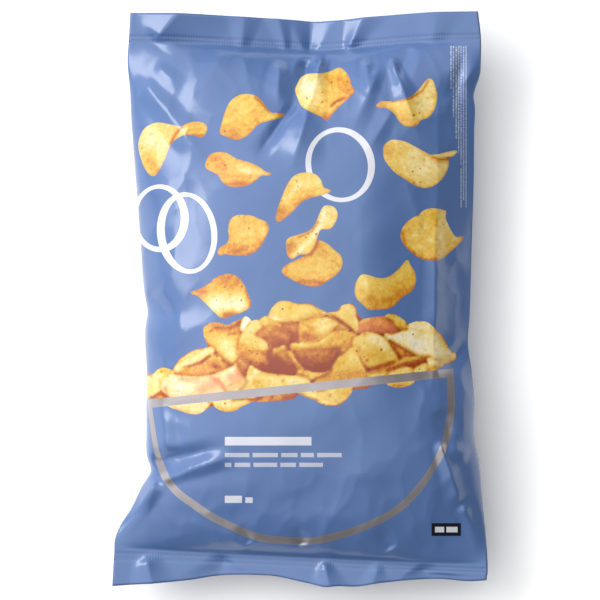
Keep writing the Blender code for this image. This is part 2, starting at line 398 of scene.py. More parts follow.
def seam_mesh(film):
    """The lap seam up the back: a thin strip lying against the film, one edge free."""
    heights = np.arange(SEAM_BOTTOM, SEAM_TOP, SEAM_STEP)
    across = np.linspace(-0.5, 0.5, SEAM_COLUMNS)
    bm = bmesh.new()
    segments = {"x_segments": len(across) - 1, "y_segments": len(heights) - 1}
    made = bmesh.ops.create_grid(bm, size=1.0, **segments)["verts"]
    for index, vert in enumerate(made):
        y, share = heights[index // len(across)], across[index % len(across)]
        x = SEAM_X + 0.6 * MM * math.sin(y / (31 * MM)) + share * SEAM_WIDTH
        level = back_height(film, x, y)
        lift = 0.12 * MM * (share + 0.5) * (1 + math.sin(y / (17 * MM)))
        vert.co = (x, y, level - SEAM_GAP - lift)
    bmesh.ops.reverse_faces(bm, faces=bm.faces)
    bmesh.ops.solidify(bm, geom=bm.faces, thickness=SEAM_FILM)
    for vert in bm.verts:
        vert.co.z = max(vert.co.z, SEAM_DEEPEST)
    mesh = bpy.data.meshes.new("back_seam")
    bmesh.ops.recalc_face_normals(bm, faces=bm.faces)
    bm.to_mesh(mesh)
    bm.free()
    mesh.shade_smooth()
    return mesh


# --- The print: shapes on the front, in mm from the middle of the bag as seen square on -------------------------

# Rings: (centre, half width and height, turn in degrees) of the outer oval, then of the inner one
RINGS = (
    ((-85.6, 49.4), (17.4, 20.7), 0, (-86.4, 49.8), (13.4, 17.8), 0),
    ((-69.1, 40.4), (18.4, 25.0), -7, (-68.5, 40.4), (14.1, 22.4), -7),
    ((24.6, 82.2), (21.2, 23.0), -12, (24.2, 82.0), (17.2, 20.2), -14),
)
# Plain bars in place of the wording: (left, bottom, right, top, strength)
BARS = (
    (-46, -89.6, 7, -84.4, 0.9),
    (-46, -96.8, -31, -94.2, 0.62), (-29, -96.8, -13.5, -94.2, 0.62), (-11.5, -96.8, -1.5, -94.2, 0.62),
    (0.5, -96.8, 8.5, -94.2, 0.62), (10.5, -96.8, 25.5, -94.2, 0.62),
    (-46, -102.8, -42, -100.2, 0.62), (-40, -102.8, -30.5, -100.2, 0.62), (-28.5, -102.8, -14, -100.2, 0.62),
    (-12, -102.8, -2.5, -100.2, 0.62), (-0.5, -102.8, 14, -100.2, 0.62),
    (-46, -124.8, -35.5, -120.4, 0.9), (-33.5, -124.8, -29, -121.4, 0.9),
)
LABEL = (80.5, -145, 98.5, -137.2, 1)
LABEL_BARS = ((82.6, -142.8, 88.2, -139.4, 1), (89.6, -142.8, 96.4, -139.4, 1))
# Columns of fine print down the right side: (across, top, bottom)
FINE_COLUMNS = (
    (92.4, 155, 128.5), (93.9, 155, 111.5), (95.6, 155, 98), (97.1, 155, 89.5), (98.6, 155, 82),
    (98.6, 80, 56), (100.1, 155, 60.5), (101.6, 155, 56),
)
# The bowl's outline, outer and inner, as x, y, x, y ...
BOWL_OUTER = (
    -93.5, -61.5, -91.5, -80.5, -89, -94.5, -86.5, -105, -83, -112.5, -75.5, -121, -66, -128, -56.5, -134.5, -45.5,
    -140, -33.5, -145.5, -21.5, -149, -9.5, -150, 0, -150.5, 10.5, -150, 24, -147, 36, -143, 44.5, -139.5, 54, -135,
    62.5, -129.5, 70.5, -122, 77.5, -113.5, 83, -104.5, 88, -96, 92, -85, 95, -65, 94, -42.5,
)
BOWL_INNER = (
    -90.5, -66.5, -88.5, -80, -86, -93.5, -82, -103.5, -79, -110, -72.5, -117.5, -63.5, -124, -54, -130.5, -43.5,
    -136, -32, -141, -20.5, -144.5, -9, -145.5, 0, -146, 10, -145.5, 23, -142.5, 34.5, -139, 43, -135.5, 52, -131,
    59.5, -126, 67, -119, 74, -110.5, 79.5, -102.5, 84, -94, 87.5, -84, 90.5, -64.5, 90, -48,
)
# Crisps, back to front: (outline, tone, lean, marks). An outline or a line is a run of x, y, x, y ... A tone is
# (lightness, browning, redness). A lean is the way it gets lighter, in degrees, and by how much. A mark is (line,
# width, and what it adds to the tone).
FALLING = (
    # twin lobed; the soft lighter, pinker patch on its left lobe is a painted highlight, the film's sheen over the
    # print
    ((-99, 94, -97.5, 100.5, -95, 104.5, -91, 107, -86.5, 108, -80, 107, -73.5, 105.5, -70, 107, -65.5, 108.5,
     -59.5, 108, -57, 105.5, -57, 103, -59.5, 99, -65.5, 100, -70, 100.5, -74, 99, -78.5, 95.5, -80.5, 91.5, -82.5,
     86, -85.5, 80, -88.5, 75.5, -92, 76, -95, 80, -97.5, 86.5), (0.62, 0.04, 0.12), (135, 0.08), (((-73, 104.5,
     -76, 101, -79.5, 95), 0.9, -0.25, 0.5, 0), ((-70, 104, -73.5, 101), 1.2, 0.18, 0, 0), ((-91, 98.5), 5, 0.2, 0,
     0.08), ((-63.5, 104), 6, -0.14, 0, -0.35), ((-70, 100, -59.5, 100), 0.8, -0.2, 0.4, 0), ((-92, 85, -88, 77.5),
     3, -0.12, 0.12, 0))),
    # round tailed
    ((-49, 101.5, -48, 107.5, -46, 114, -43, 120.5, -38, 124.5, -32.5, 125.5, -27.5, 124.5, -23.5, 121.5, -20.5,
     117.5, -17.5, 114, -14, 114, -9.5, 113, -11, 111.5, -16.5, 109.5, -23, 108, -27, 105.5, -31.5, 100.5, -37.5,
     97.5, -42, 98, -45.5, 99.5), (0.5, 0.02, -0.2), (110, 0.08), (((-27.5, 123.5, -23.5, 120, -19.5, 115.5), 0.8,
     -0.2, 0.45, 0), ((-41.5, 100.5), 5, -0.08, 0.14, 0.05), ((-36.5, 114.5), 6, 0.13, 0, 0), ((-23.5, 110, -15.5,
     111.5), 1.5, 0.12, 0, 0))),
    # folded point
    ((-3, 128, -1.5, 132, 1, 136, 6, 138, 11.5, 138, 17.5, 139, 23.5, 141.5, 27, 140, 30, 136, 31.5, 131, 33.5, 127,
     31.5, 124.5, 26, 119.5, 20.5, 114, 16.5, 109, 13, 111.5, 7.5, 114, 1, 118, -1.5, 123), (0.58, 0.02, 0), (170,
     0.12), (((6, 129), 8, 0.26, 0, 0.03), ((25, 134, 27.5, 128), 5, -0.1, 0.03, -0.2), ((19, 118, 22.5, 121, 27,
     123), 0.8, -0.25, 0.5, 0), ((16.5, 111.5), 3, -0.15, 0.3, 0), ((16, 136.5, 20, 128), 1.5, -0.08, 0.06, 0))),
    # wing
    ((46.5, 118.5, 50, 121, 55.5, 121, 62, 122, 68, 124, 72.5, 128, 76, 132.5, 79, 135, 81.5, 133.5, 83, 129.5, 84,
     125.5, 83.5, 120, 81.5, 114.5, 78.5, 111, 74, 109.5, 72, 106.5, 68, 105.5, 64, 106, 60.5, 109, 57.5, 113.5,
     52.5, 117, 48.5, 117), (0.64, 0.02, 0), (60, 0.08), (((78.5, 133.5, 75, 127.5, 67, 122.5, 56.5, 121), 0.7,
     -0.2, 0.5, 0), ((50, 118.5), 4, -0.15, 0.2, 0.05), ((76.5, 118.5), 6, 0.12, 0, 0), ((63.5, 111, 70, 107), 2,
     -0.1, 0.1, 0))),
    # leaf
    ((-58, 81.5, -57, 85.5, -54, 89, -48, 90, -44, 89, -40, 86.5, -36, 85, -30.5, 83.5, -25, 81, -21, 78, -17.5, 77,
     -19, 75.5, -23.5, 75.5, -27, 72.5, -32, 69.5, -38.5, 68.5, -43.5, 69, -47.5, 71.5, -50, 75.5, -53, 77.5, -57,
     79.5), (0.5, 0.06, 0.04), (60, 0.06), (((-38, 80, -23.5, 77), 3, 0.2, 0, 0), ((-52, 86.5), 4, -0.06, 0.08, 0),
     ((-41.5, 70.5, -33, 70.5), 1.2, -0.15, 0.2, 0))),
    # big oval
    ((51, 90, 51.5, 94, 55, 97, 58, 97.5, 64, 96.5, 70, 93.5, 76.5, 90, 81.5, 87.5, 86.5, 87, 90.5, 85.5, 91, 81.5,
     88.5, 75.5, 84.5, 71, 80, 68.5, 75, 68, 69.5, 70, 64, 73.5, 58, 77.5, 54, 82, 51.5, 86), (0.68, 0.02, 0), (40,
     0.06), (((53, 91), 5, -0.15, 0.16, 0.05), ((74, 81), 9, 0.14, 0, 0), ((61, 75.5, 70.5, 70.5), 1.5, -0.12, 0.12,
     0))),
    # oval flap
    ((79.5, 88, 84, 88.5, 88, 89.5, 95, 91, 96, 89.5, 93, 87, 88.5, 85.5, 84.5, 85.5), (0.72, 0, 0), (90, 0.05),
     (((81, 86.5, 86.5, 85.5, 92, 86.5), 0.7, -0.3, 0.6, 0),)),
    # crescent
    ((-15, 49, -14, 54.5, -12, 60, -9, 67.5, -5.5, 73.5, -1.5, 76.5, 5, 77.5, 10, 76, 13, 72.5, 14.5, 68.5, 19,
     66.5, 17.5, 65, 13, 63.5, 7, 62, 0.5, 59, -3.5, 54.5, -8, 50.5, -12, 47.5, -14, 47.5), (0.56, 0.02, -0.05),
     (60, 0.08), (((-12, 51.5), 4, -0.14, 0.2, 0), ((-8.5, 60.5, -0.5, 70.5, 11, 71.5), 2.4, 0.15, 0, 0), ((-3,
     57.5, 7.5, 63.5), 1.3, -0.12, 0.12, 0))),
    # under oval
    ((-11, 18, -8, 21, -1.5, 24.5, 6, 28, 9, 32.5, 11, 36, 16.5, 34, 20.5, 30.5, 25, 26.5, 26, 21, 23.5, 16, 18.5,
     12, 12, 8, 5, 8, -2.5, 10.5, -10, 15), (0.52, 0.03, 0), (60, 0.1), (((-2.5, 17.5, 11, 16.5), 5, 0.1, 0, 0),
     ((0, 11, 13.5, 10), 1.5, -0.14, 0.16, 0), ((11, 33.5, 14.5, 29), 3, -0.1, 0.1, 0))),
    # twisted
    ((15, 57, 20.5, 56.5, 23, 52.5, 22, 47.5, 18.5, 43, 13, 42.5, 11, 39, 9, 32.5, 6, 28, -0.5, 27, -4.5, 24.5,
     -7.5, 26.5, -8.5, 32.5, -7.5, 37, -0.5, 39.5, 6, 42, 10, 47.5, 12, 52.5), (0.66, 0.02, 0), (40, 0.06), (((14.5,
     52.5, 12, 43.5, 5.5, 35, -3.5, 26.5), 1.4, 0.22, 0, 0), ((-5.5, 32.5), 3.5, -0.25, 0.35, 0), ((11, 47, 6.5, 41,
     -1, 37.5), 0.8, -0.2, 0.35, 0))),
    # spoon
    ((-43.5, 46, -42.5, 48.5, -39.5, 51, -34.5, 51.5, -29.5, 51, -25, 49, -21, 47.5, -19, 44, -19.5, 41, -22, 35.5,
     -25, 31, -29, 28, -33.5, 26.5, -38.5, 26.5, -43.5, 27, -46.5, 27.5, -49, 26.5, -50.5, 28.5, -50, 30.5, -47.5,
     32.5, -44.5, 34.5, -43.5, 38, -44, 42), (0.5, 0.04, 0), (100, 0.06), (((-33, 41), 7, 0.1, 0, 0), ((-43, 30,
     -30.5, 29), 2, -0.1, 0.12, 0), ((-24.5, 46, -22, 40), 2, 0.1, 0, 0))),
    # bitten
    ((61.5, 38.5, 62.5, 43, 65.5, 47, 69.5, 50, 72.5, 51, 74, 53, 77.5, 55, 82.5, 55.5, 87.5, 54.5, 89.5, 53.5, 89,
     50, 90.5, 46, 92.5, 42, 95.5, 38, 99.5, 38.5, 100, 37, 98, 34.5, 94.5, 31, 90.5, 27.5, 86.5, 24.5, 82, 23.5,
     76, 24, 71.5, 26, 66.5, 30, 63.5, 33.5), (0.6, 0.03, -0.05), (45, 0.04), (((70.5, 39), 1.8, 0.2, 0, 0), ((77,
     44.5), 1.8, 0.2, 0, 0), ((80, 36), 2.2, 0.2, 0, 0), ((86.5, 38.5), 1.8, 0.2, 0, 0), ((73.5, 32), 1.8, 0.2, 0,
     0), ((82, 50), 3.5, -0.12, 0, -0.45), ((89.5, 51.5, 91, 43.5, 95.5, 38), 1.2, 0.3, 0, 0), ((62.5, 41, 65, 31,
     73.5, 25, 83, 24), 1.3, -0.16, 0.2, 0))),
    # fan
    ((-67, 4.5, -63, 5.5, -59, 7.5, -55, 10, -52.5, 12.5, -48.5, 14.5, -43.5, 15.5, -39.5, 14.5, -36, 11.5, -33.5,
     7.5, -31.5, 2.5, -30, -1.5, -30.5, -5, -35, -8, -39.5, -9.5, -44.5, -11.5, -48.5, -11.5, -51.5, -9, -55.5, -5,
     -59.5, -1, -63, 2, -66, 3), (0.48, 0.04, 0), (270, 0.1), (((-61, 5), 4, -0.1, 0.25, 0.05), ((-47.5, 12, -38,
     11), 3, -0.06, 0.1, 0), ((-33, 4.5, -30.5, -3.5), 1.2, -0.1, 0.3, 0), ((-51, -2.5), 7, 0.42, 0, 0), ((-38,
     -2.5), 6.5, 0.42, 0, 0), ((-45.5, -10, -40.5, -8.5), 2.2, -0.4, 0, -0.1))),
    # curved bar
    ((33.5, 4, 34, 9, 35.5, 12.5, 38, 15, 42.5, 14.5, 47, 13, 52, 13, 56.5, 15, 61, 19, 65.5, 24, 67.5, 21, 70, 17,
     71, 12, 70, 7.5, 67.5, 4, 62.5, 1, 58.5, -3.5, 53.5, -6, 47, -6.5, 42, -6.5, 38.5, -3.5, 35, 0), (0.57, 0.02,
     -0.15), (120, 0.07), (((43, -0.5, 55, -2, 64.5, 5.5), 4, -0.12, 0.12, 0), ((40, 10.5), 4, 0.15, 0, 0), ((60,
     14, 66, 19), 2, 0.1, 0, 0))),
)
HEAP = (
    # top
    ((-25.5, -13.5, -22.5, -11, -18.5, -10, -14.5, -11, -11.5, -14, -8, -19, -12, -19, -17, -17, -23.5, -19, -27.5,
     -21, -27.5, -16.5), (0.66, 0, -0.05), (90, 0.05), ()),
    # high top
    ((-19, -9, -16.5, -4.5, -13, -1.5, -8.5, -1, -4.5, -2, -1, -3, 6, -3, 11, -5.5, 16.5, -8.5, 13.5, -11.5, 7.5,
     -11.5, 3, -13, 0, -14.5, -6, -15.5, -13.5, -14, -18.5, -11.5), (0.66, 0, -0.14), (250, 0.05), (((-18.5, -11.5,
     -6, -14, 0, -13.5), 0.9, 0.25, 0, 0), ((-5, -4.5, -7.5, -10.5), 1.5, -0.12, 0, -0.1), ((-13.5, -14, 0, -15),
     0.7, -0.2, 0.4, 0))),
    # under top
    ((-11.5, -14, 0, -13.5, 3.5, -15.5, 2, -21, 2, -28, -5.5, -29, -8, -21), (0.36, 0.12, 0.05), (90, 0.06),
     (((-2.5, -23.5), 2.5, -0.1, 0.4, 0.1), ((-10.5, -15.5, 0, -14.5), 1.2, -0.1, 0.35, 0))),
    # back left
    ((-59, -22, -59, -17.5, -57, -16, -54.5, -14.5, -49, -14.5, -44.5, -16, -40.5, -14, -36.5, -12.5, -33, -13,
     -33.5, -17.5, -35, -24, -35.5, -31, -36.5, -37.5, -41, -42, -45.5, -38.5, -49, -35, -53, -32, -55.5, -28,
     -57.5, -25), (0.52, 0, -0.08), (270, 0.1), (((-52, -17.5, -46.5, -18, -41.5, -17.5, -36.5, -14), 1.2, -0.2,
     0.4, 0.08), ((-46, -28, -41.5, -33.5), 6, 0.24, 0, 0.03), ((-54.5, -19.5), 0.7, -0.3, 0.5, 0), ((-44, -21.5,
     -40, -21), 0.8, -0.15, 0.25, 0))),
    # chip
    ((-35.5, -13.5, -33.5, -10.5, -30, -13, -32, -16.5, -34.5, -20, -36.5, -18.5), (1, 0, 0), (90, 0), ()),
    # tall
    ((17, -8.5, 23.5, -7.5, 25, -4.5, 29, -3, 32, -3.5, 34.5, -6.5, 35, -11.5, 37.5, -16.5, 35.5, -22, 32, -20, 28,
     -17.5, 24.5, -14.5, 21, -11.5), (0.63, 0, -0.08), (90, 0.05), (((19.5, -10.5, 24.5, -13.5, 30.5, -18.5), 1,
     -0.25, 0.35, 0.03), ((34.5, -13, 35, -20), 1.4, 0.25, 0, 0))),
    # cream gap
    ((12, -7.5, 16.5, -8.5, 21, -11.5, 25, -14.5, 30.5, -18.5, 25.5, -19.5, 19.5, -17.5, 22, -14.5, 18.5, -11),
     (0.88, 0, 0), (90, 0), (((19, -10.5, 27, -16.5), 1.2, -0.1, 0.1, 0),)),
    # red
    ((35.5, -19.5, 36.5, -14, 40.5, -12, 45.5, -11, 51.5, -10.5, 55, -12, 59, -16, 61, -20, 56.5, -21.5, 50, -21,
     43, -20, 38, -21.5), (0.42, 0.12, 0.35), (90, 0.08), (((36, -13, 41.5, -12), 1.2, 0.4, -0.1, -0.2), ((44,
     -17.5, 55, -19.5), 1.6, -0.1, 0.25, 0.15), ((49, -14), 2.5, 0.1, 0, 0))),
    # far yellow
    ((52, -10.5, 54.5, -9, 59, -10, 62.5, -12, 66, -15.5, 68, -19.5, 63.5, -21, 60, -18.5, 56.5, -14.5, 52.5, -12),
     (0.6, 0, -0.15), (60, 0.05), (((53, -12, 57, -14.5), 1, -0.3, 0.5, 0.1), ((61, -17.5, 66, -19), 1, -0.2, 0.3,
     0))),
    # cream right
    ((66, -16, 70, -14, 74.5, -13.5, 78.5, -14.5, 82, -17.5, 85.5, -21, 88.5, -25, 91, -30, 93, -32.5, 95, -32.5,
     96, -34.5, 95, -37.5, 92, -39, 88, -40.5, 84, -43, 80, -40, 78.5, -36.5, 73.5, -35.5, 68.5, -35, 64.5, -33, 60,
     -30, 56.5, -27.5, 53, -25, 51.5, -21, 56.5, -21.5, 61, -20, 66, -19), (0.86, 0, 0), (200, 0.06), (((83, -20,
     90, -30), 2.2, -0.22, 0.03, -0.1), ((87, -37.5, 92, -37.5), 3, -0.28, 0.03, -0.25), ((70.5, -27, 81, -31), 4,
     0.08, 0, 0), ((67.5, -18.5, 76, -20), 1.2, -0.12, 0, 0), ((61, -22.5, 73.5, -26.5), 1.2, 0.08, 0, 0))),
    # cream fold
    ((55, -25, 59.5, -27.5, 63.5, -30, 67.5, -32.5, 70.5, -35.5, 65, -36.5, 61, -39, 57.5, -33.5, 54.5, -28), (0.45,
     0.12, 0.03), (30, 0.06), (((55.5, -25, 59, -27.5, 67.5, -32.5), 0.8, -0.3, 0.6, 0), ((64.5, -32.5), 1, -0.25,
     0.4, 0))),
    # yellow mid
    ((-35, -20, -32, -16.5, -29.5, -13.5, -25.5, -13, -23.5, -17.5, -26.5, -21, -23.5, -23.5, -20, -26.5, -18.5,
     -32, -23.5, -33.5, -30.5, -32.5, -37.5, -30.5, -36.5, -24), (0.7, 0, -0.1), (100, 0.05), (((-21, -25.5, -19,
     -31), 0.9, 0.25, 0, 0), ((-35.5, -28, -25.5, -31), 2, -0.1, 0.03, 0))),
    # orange band
    ((-38, -29.5, -30.5, -31, -23.5, -32.5, -17.5, -32.5, -17, -38.5, -19, -44, -23.5, -43.5, -28, -41, -33.5, -40,
     -38.5, -38.5), (0.38, 0.1, 0), (100, 0.12), (((-23.5, -40.5, -19, -43.5), 1.6, -0.3, 0.7, 0.1), ((-30.5, -35,
     -23.5, -36), 1.5, 0.06, 0, 0))),
    # hollow
    ((-27.5, -21.5, -23.5, -18.5, -19.5, -16, -16, -16, -12, -17.5, -7.5, -19, -5, -22, -5.5, -27, -4.5, -32.5,
     -0.5, -45.5, -9, -45.5, -16, -43.5, -19, -36, -19.5, -28, -21.5, -24, -24.5, -23.5), (0.24, 0.45, 0.06), (110,
     0.14), (((-23.5, -21, -18.5, -17.5), 2, 0.12, -0.2, 0), ((-12, -26.5), 3, -0.08, 0.25, 0.12), ((-15.5, -38.5,
     -7.5, -42), 3, -0.15, 0.4, 0.1), ((-14, -21, -8.5, -24), 2, 0.1, -0.15, 0))),
    # inner fold
    ((-16.5, -30.5, -13.5, -29.5, -10, -28, -6.5, -31, -3.5, -37.5, -0.5, -44.5, -8, -44.5, -13.5, -41, -16.5, -36),
     (0.38, 0.2, 0), (110, 0.1), (((-14.5, -37.5, -7.5, -43, -3.5, -43.5), 3, -0.35, 0.75, 0.1), ((-16, -30.5, -10,
     -29), 1.2, 0.15, -0.1, 0))),
    # round gold
    ((-0.5, -14.5, 3, -11.5, 7.5, -10, 12, -10, 17, -11, 21.5, -13, 23.5, -15.5, 21, -18.5, 17, -22, 13.5, -25, 7.5,
     -27, 0, -27.5, -1, -21), (0.54, 0.02, 0), (45, 0.12), (((13.5, -16.5), 5, 0.16, 0, 0), ((2.5, -22.5, 10, -24),
     2.2, -0.14, 0.25, 0.03), ((0.5, -27, 8.5, -26.5, 14.5, -24, 20, -19), 0.9, 0.3, -0.1, 0), ((2, -13, 7.5, -11,
     14.5, -11), 0.8, -0.15, 0.3, 0))),
    # big fold
    ((-5.5, -27, 0, -27, 7.5, -26.5, 12, -25.5, 17, -21.5, 21, -18.5, 25, -17.5, 30.5, -19.5, 34.5, -21.5, 35.5,
     -25, 32, -30, 27, -33, 24, -36, 21, -40, 18.5, -43.5, 13.5, -44, 6, -43, 1, -41.5, -2.5, -36.5, -6, -31), (0.5,
     0.01, -0.12), (110, 0.08), (((-3.5, -27.5, 7.5, -28, 16, -24.5), 1.4, 0.15, 0, 0), ((24.5, -29.5, 32, -25), 2,
     -0.08, 0.06, 0.03), ((7.5, -29.5, 19.5, -29), 2, -0.08, 0.02, -0.1), ((21, -19, 28, -18.5), 0.8, -0.15, 0.3,
     0))),
    # underside
    ((-6, -32, 0, -31, 7.5, -31, 15.5, -31, 23.5, -30.5, 22, -35.5, 19.5, -39, 16.5, -42, 11, -43.5, 3.5, -42, -0.5,
     -39, -3.5, -35.5), (0.26, 0.34, 0), (100, 0.12), (((12, -41, 19.5, -40), 1.8, -0.2, 0.6, 0.1), ((-1, -36, 10,
     -41.5), 1.5, -0.08, 0.25, 0), ((6, -33, 16, -33.5), 2.5, 0.06, -0.12, 0))),
    # side strip
    ((-8, -32, -5, -32, -2.5, -36.5, 2, -41.5, 6.5, -43.5, 7.5, -46.5, 0, -46.5, -3, -41.5, -6, -36.5), (0.52, 0.03,
     -0.05), (60, 0.08), (((-6, -35.5, -1, -42), 0.7, -0.15, 0.3, 0),)),
    # pale gold
    ((35, -22.5, 40.5, -20, 46.5, -21, 51.5, -23.5, 54.5, -27, 57, -31, 60.5, -36, 62, -39, 58, -41.5, 52, -43,
     45.5, -44.5, 42, -44, 39, -41.5, 36, -38, 33.5, -33, 32, -28, 33, -24.5), (0.64, 0, -0.05), (80, 0.1), (((46,
     -24, 52.5, -28), 4, 0.16, 0, 0), ((41, -43.5, 49, -41, 57.5, -38.5), 1.3, -0.25, 0.4, 0.03), ((41, -37.5), 0.8,
     -0.4, 0.6, 0), ((40.5, -32.5, 51.5, -36), 4, -0.08, 0.02, -0.05), ((34.5, -28, 38, -37.5), 1.2, 0.12, 0, 0),
     ((40, -21.5), 0.9, -0.3, 0.3, 0))),
    # front yellow
    ((27, -33, 31, -29.5, 35, -29, 36, -33.5, 37.5, -38.5, 40.5, -43, 43.5, -47, 40.5, -51, 32, -52, 23.5, -53,
     13.5, -54.5, 5.5, -54, 11, -47.5, 17.5, -44, 21, -39, 23.5, -35.5), (0.52, 0, -0.22), (100, 0.1), (((30.5,
     -32.5, 32, -37.5), 3, 0.14, 0, 0), ((17, -47, 29.5, -46.5, 36.5, -46), 2.6, -0.1, 0.12, 0), ((34.5, -35, 39,
     -43.5), 1, 0.16, 0, 0))),
    # rim strip
    ((-3, -45.5, 2, -43, 7.5, -44, 13.5, -44.5, 18.5, -43, 15.5, -46, 8.5, -49, 5, -53, -2.5, -53), (0.56, 0.03, 0),
     (90, 0.06), (((2.5, -43, 13.5, -44, 17.5, -43), 0.8, -0.25, 0.5, 0), ((0, -49.5, 6, -48.5), 1.5, 0.25, 0, 0))),
    # rim gold
    ((41, -44.5, 47.5, -43, 55, -41, 60, -38, 63.5, -35.5, 68.5, -35, 73.5, -35, 79, -36, 73.5, -38.5, 67.5, -40,
     62.5, -41.5, 57.5, -44, 54, -49, 44, -50, 41, -49), (0.54, 0.03, 0), (90, 0.08), (((53, -43.5, 62.5, -40, 70.5,
     -38, 77.5, -36.5), 0.9, -0.25, 0.5, 0), ((43, -44, 49, -44), 2, -0.15, 0.25, 0.05), ((44, -47, 51.5, -45.5), 1,
     0.2, 0, 0))),
    # rim pale
    ((54, -46, 59, -43, 63.5, -41.5, 68.5, -42, 71.5, -45.5, 71, -49, 55, -51), (0.66, 0, 0), (100, 0.06), ()),
    # rim nut
    ((69, -44.5, 72, -41, 76, -39, 78.5, -40, 79, -43.5, 77, -47.5, 70, -48.5), (0.7, 0, -0.05), (100, 0.1),
     (((70.5, -41.5, 76, -39), 0.6, -0.2, 0.4, 0),)),
    # rim end
    ((77.5, -36.5, 82, -36.5, 84.5, -39, 84, -43, 82, -46.5, 78.5, -47, 78.5, -41), (0.72, 0.02, 0.02), (100, 0.14),
     (((79.5, -43, 83, -41.5), 1.6, -0.2, 0.2, 0.05), ((83, -37.5, 84.5, -41), 0.7, 0.2, 0, 0))),
    # pale left
    ((-78.5, -44.5, -74.5, -38.5, -71.5, -35.5, -67.5, -33, -63.5, -31, -59.5, -30.5, -55, -29, -52.5, -31, -53,
     -34.5, -57.5, -36.5, -61, -39, -67.5, -41.5, -71, -44, -74.5, -46), (0.8, 0.02, 0.02), (120, 0.06), (((-71,
     -41.5, -66, -40.5, -61, -38.5, -56.5, -35.5), 0.8, -0.25, 0.45, 0), ((-73.5, -38.5, -61, -32), 1.2, -0.15,
     0.04, -0.1), ((-56.5, -29.5), 0.7, -0.3, 0.4, 0), ((-55.5, -35.5), 0.9, -0.3, 0.5, 0))),
    # orange left
    ((-74.5, -45.5, -67.5, -41.5, -60, -39, -56.5, -36, -52, -33.5, -48.5, -35, -44, -38.5, -40.5, -41.5, -44, -44,
     -49, -46, -54, -47.5, -61, -49, -70, -47.5), (0.46, 0.06, 0), (110, 0.1), (((-53, -40.5, -50, -42), 2, -0.15,
     0.4, 0.1), ((-51.5, -41.5), 0.9, -0.2, 0.6, 0.1), ((-55, -35.5, -49, -36), 2, 0.1, 0, -0.1), ((-47.5, -37.5,
     -42, -41.5), 1, -0.2, 0.35, 0))),
    # left end
    ((-96, -49, -90.5, -46.5, -87.5, -43.5, -84, -42, -79.5, -43, -77, -45.5, -79, -50, -82, -54, -81.5, -58, -85.5,
     -57, -90.5, -59.5, -96, -62), (0.74, 0, -0.05), (90, 0.04), (((-84.5, -43.5, -81, -44), 2.4, -0.2, 0.05, -0.2),
     ((-85, -44.5), 0.7, -0.3, 0.5, 0), ((-94, -52, -93.5, -58), 3, -0.12, 0, -0.15), ((-86.5, -49.5, -83, -54.5),
     1.4, -0.06, 0.1, 0.15))),
    # pink left
    ((-85, -52, -82.5, -48.5, -78.5, -46, -71, -47, -62.5, -47.5, -55, -46.5, -51.5, -46.5, -47.5, -49, -44, -54,
     -45.5, -58, -58, -60, -67.5, -61, -74.5, -62, -80, -60, -84, -56.5), (0.84, 0, 0.3), (90, 0.04), (((-73.5, -49,
     -63, -49.5), 1.6, -0.06, 0.08, 0.3), ((-61, -55.5, -53, -52, -50, -48.5), 3, -0.06, 0.02, 0.42), ((-52.5,
     -47.5, -46, -54.5), 2, -0.08, 0.08, 0.45), ((-82.5, -54.5, -81, -59.5), 1, -0.2, 0.3, 0.2), ((-76, -53, -67.5,
     -54.5), 4, 0.08, 0, -0.15))),
    # pink mid
    ((-54, -47, -47.5, -44, -42, -41.5, -37.5, -38.5, -35.5, -43.5, -32, -46, -29.5, -48.5, -33, -52, -36.5, -58,
     -44, -59, -45.5, -54.5, -49.5, -49.5), (0.82, 0, 0.18), (60, 0.05), (((-42, -48.5, -38, -46.5), 2.6, -0.08,
     0.03, 0.6), ((-47.5, -46, -41.5, -43), 1.8, 0.08, 0, -0.1), ((-43.5, -53, -36.5, -50), 1, -0.1, 0.2, 0.2))),
    # dark gap
    ((-39, -40, -36.5, -35.5, -33, -37.5, -30, -40, -30.5, -45.5, -34.5, -47, -37.5, -43.5), (0.32, 0.42, 0.04),
     (110, 0.08), (((-36.5, -37.5, -33, -41), 1.4, 0.15, -0.15, 0),)),
    # long rim
    ((-33, -47, -30.5, -40.5, -27, -42, -23.5, -44, -17, -45.5, -9, -46, 0, -47, 5.5, -49, 6.5, -54, -2.5, -55, -12,
     -56.5, -23.5, -57.5, -30.5, -58, -38, -59, -43.5, -58, -38, -54, -32.5, -50), (0.7, 0, -0.08), (100, 0.05),
     (((-41.5, -55, -33, -52, -27, -44.5), 1.4, 0.18, 0, 0.05), ((-36.5, -55.5, -32.5, -51), 1.4, -0.25, 0.35,
     0.05), ((-25.5, -51, -23.5, -54.5), 2.6, -0.14, 0.02, -0.15), ((-29.5, -44.5, -28, -52), 2, -0.12, 0.05, 0),
     ((-23.5, -45.5, -12, -47), 1, -0.1, 0, -0.1), ((-13.5, -46), 0.7, -0.3, 0.4, 0), ((-10.5, -50), 0.9, -0.3, 0.2,
     -0.2), ((-12, -49.5, 2.5, -50), 2.5, 0.08, 0, 0))),
    # below pink
    ((-83, -63, -74.5, -62, -64.5, -60.5, -54, -60, -55, -65, -58, -68, -62.5, -70.5, -68.5, -70, -74.5, -68, -79,
     -66.5), (0.8, 0, 0.14), (270, 0.06), (((-76.5, -67.5, -68.5, -69), 1.2, -0.2, 0.1, 0.1),)),
    # below yellow
    ((-54.5, -60.5, -46, -59.5, -36.5, -59, -25.5, -58, -29.5, -63, -35, -65.5, -39, -68, -44, -69, -49, -68, -52.5,
     -65.5), (0.72, 0, -0.04), (120, 0.08), (((-41, -61.5, -33, -61, -27, -62), 1, -0.3, 0.6, 0), ((-50, -66.5, -43,
     -68.5, -36.5, -66.5), 1.3, -0.15, 0.02, -0.15))),
    # below brown
    ((-29.5, -62.5, -23.5, -59.5, -15.5, -57.5, -6, -56.5, -1, -58, -3, -60.5, -7.5, -62, -15.5, -62.5, -23.5, -63),
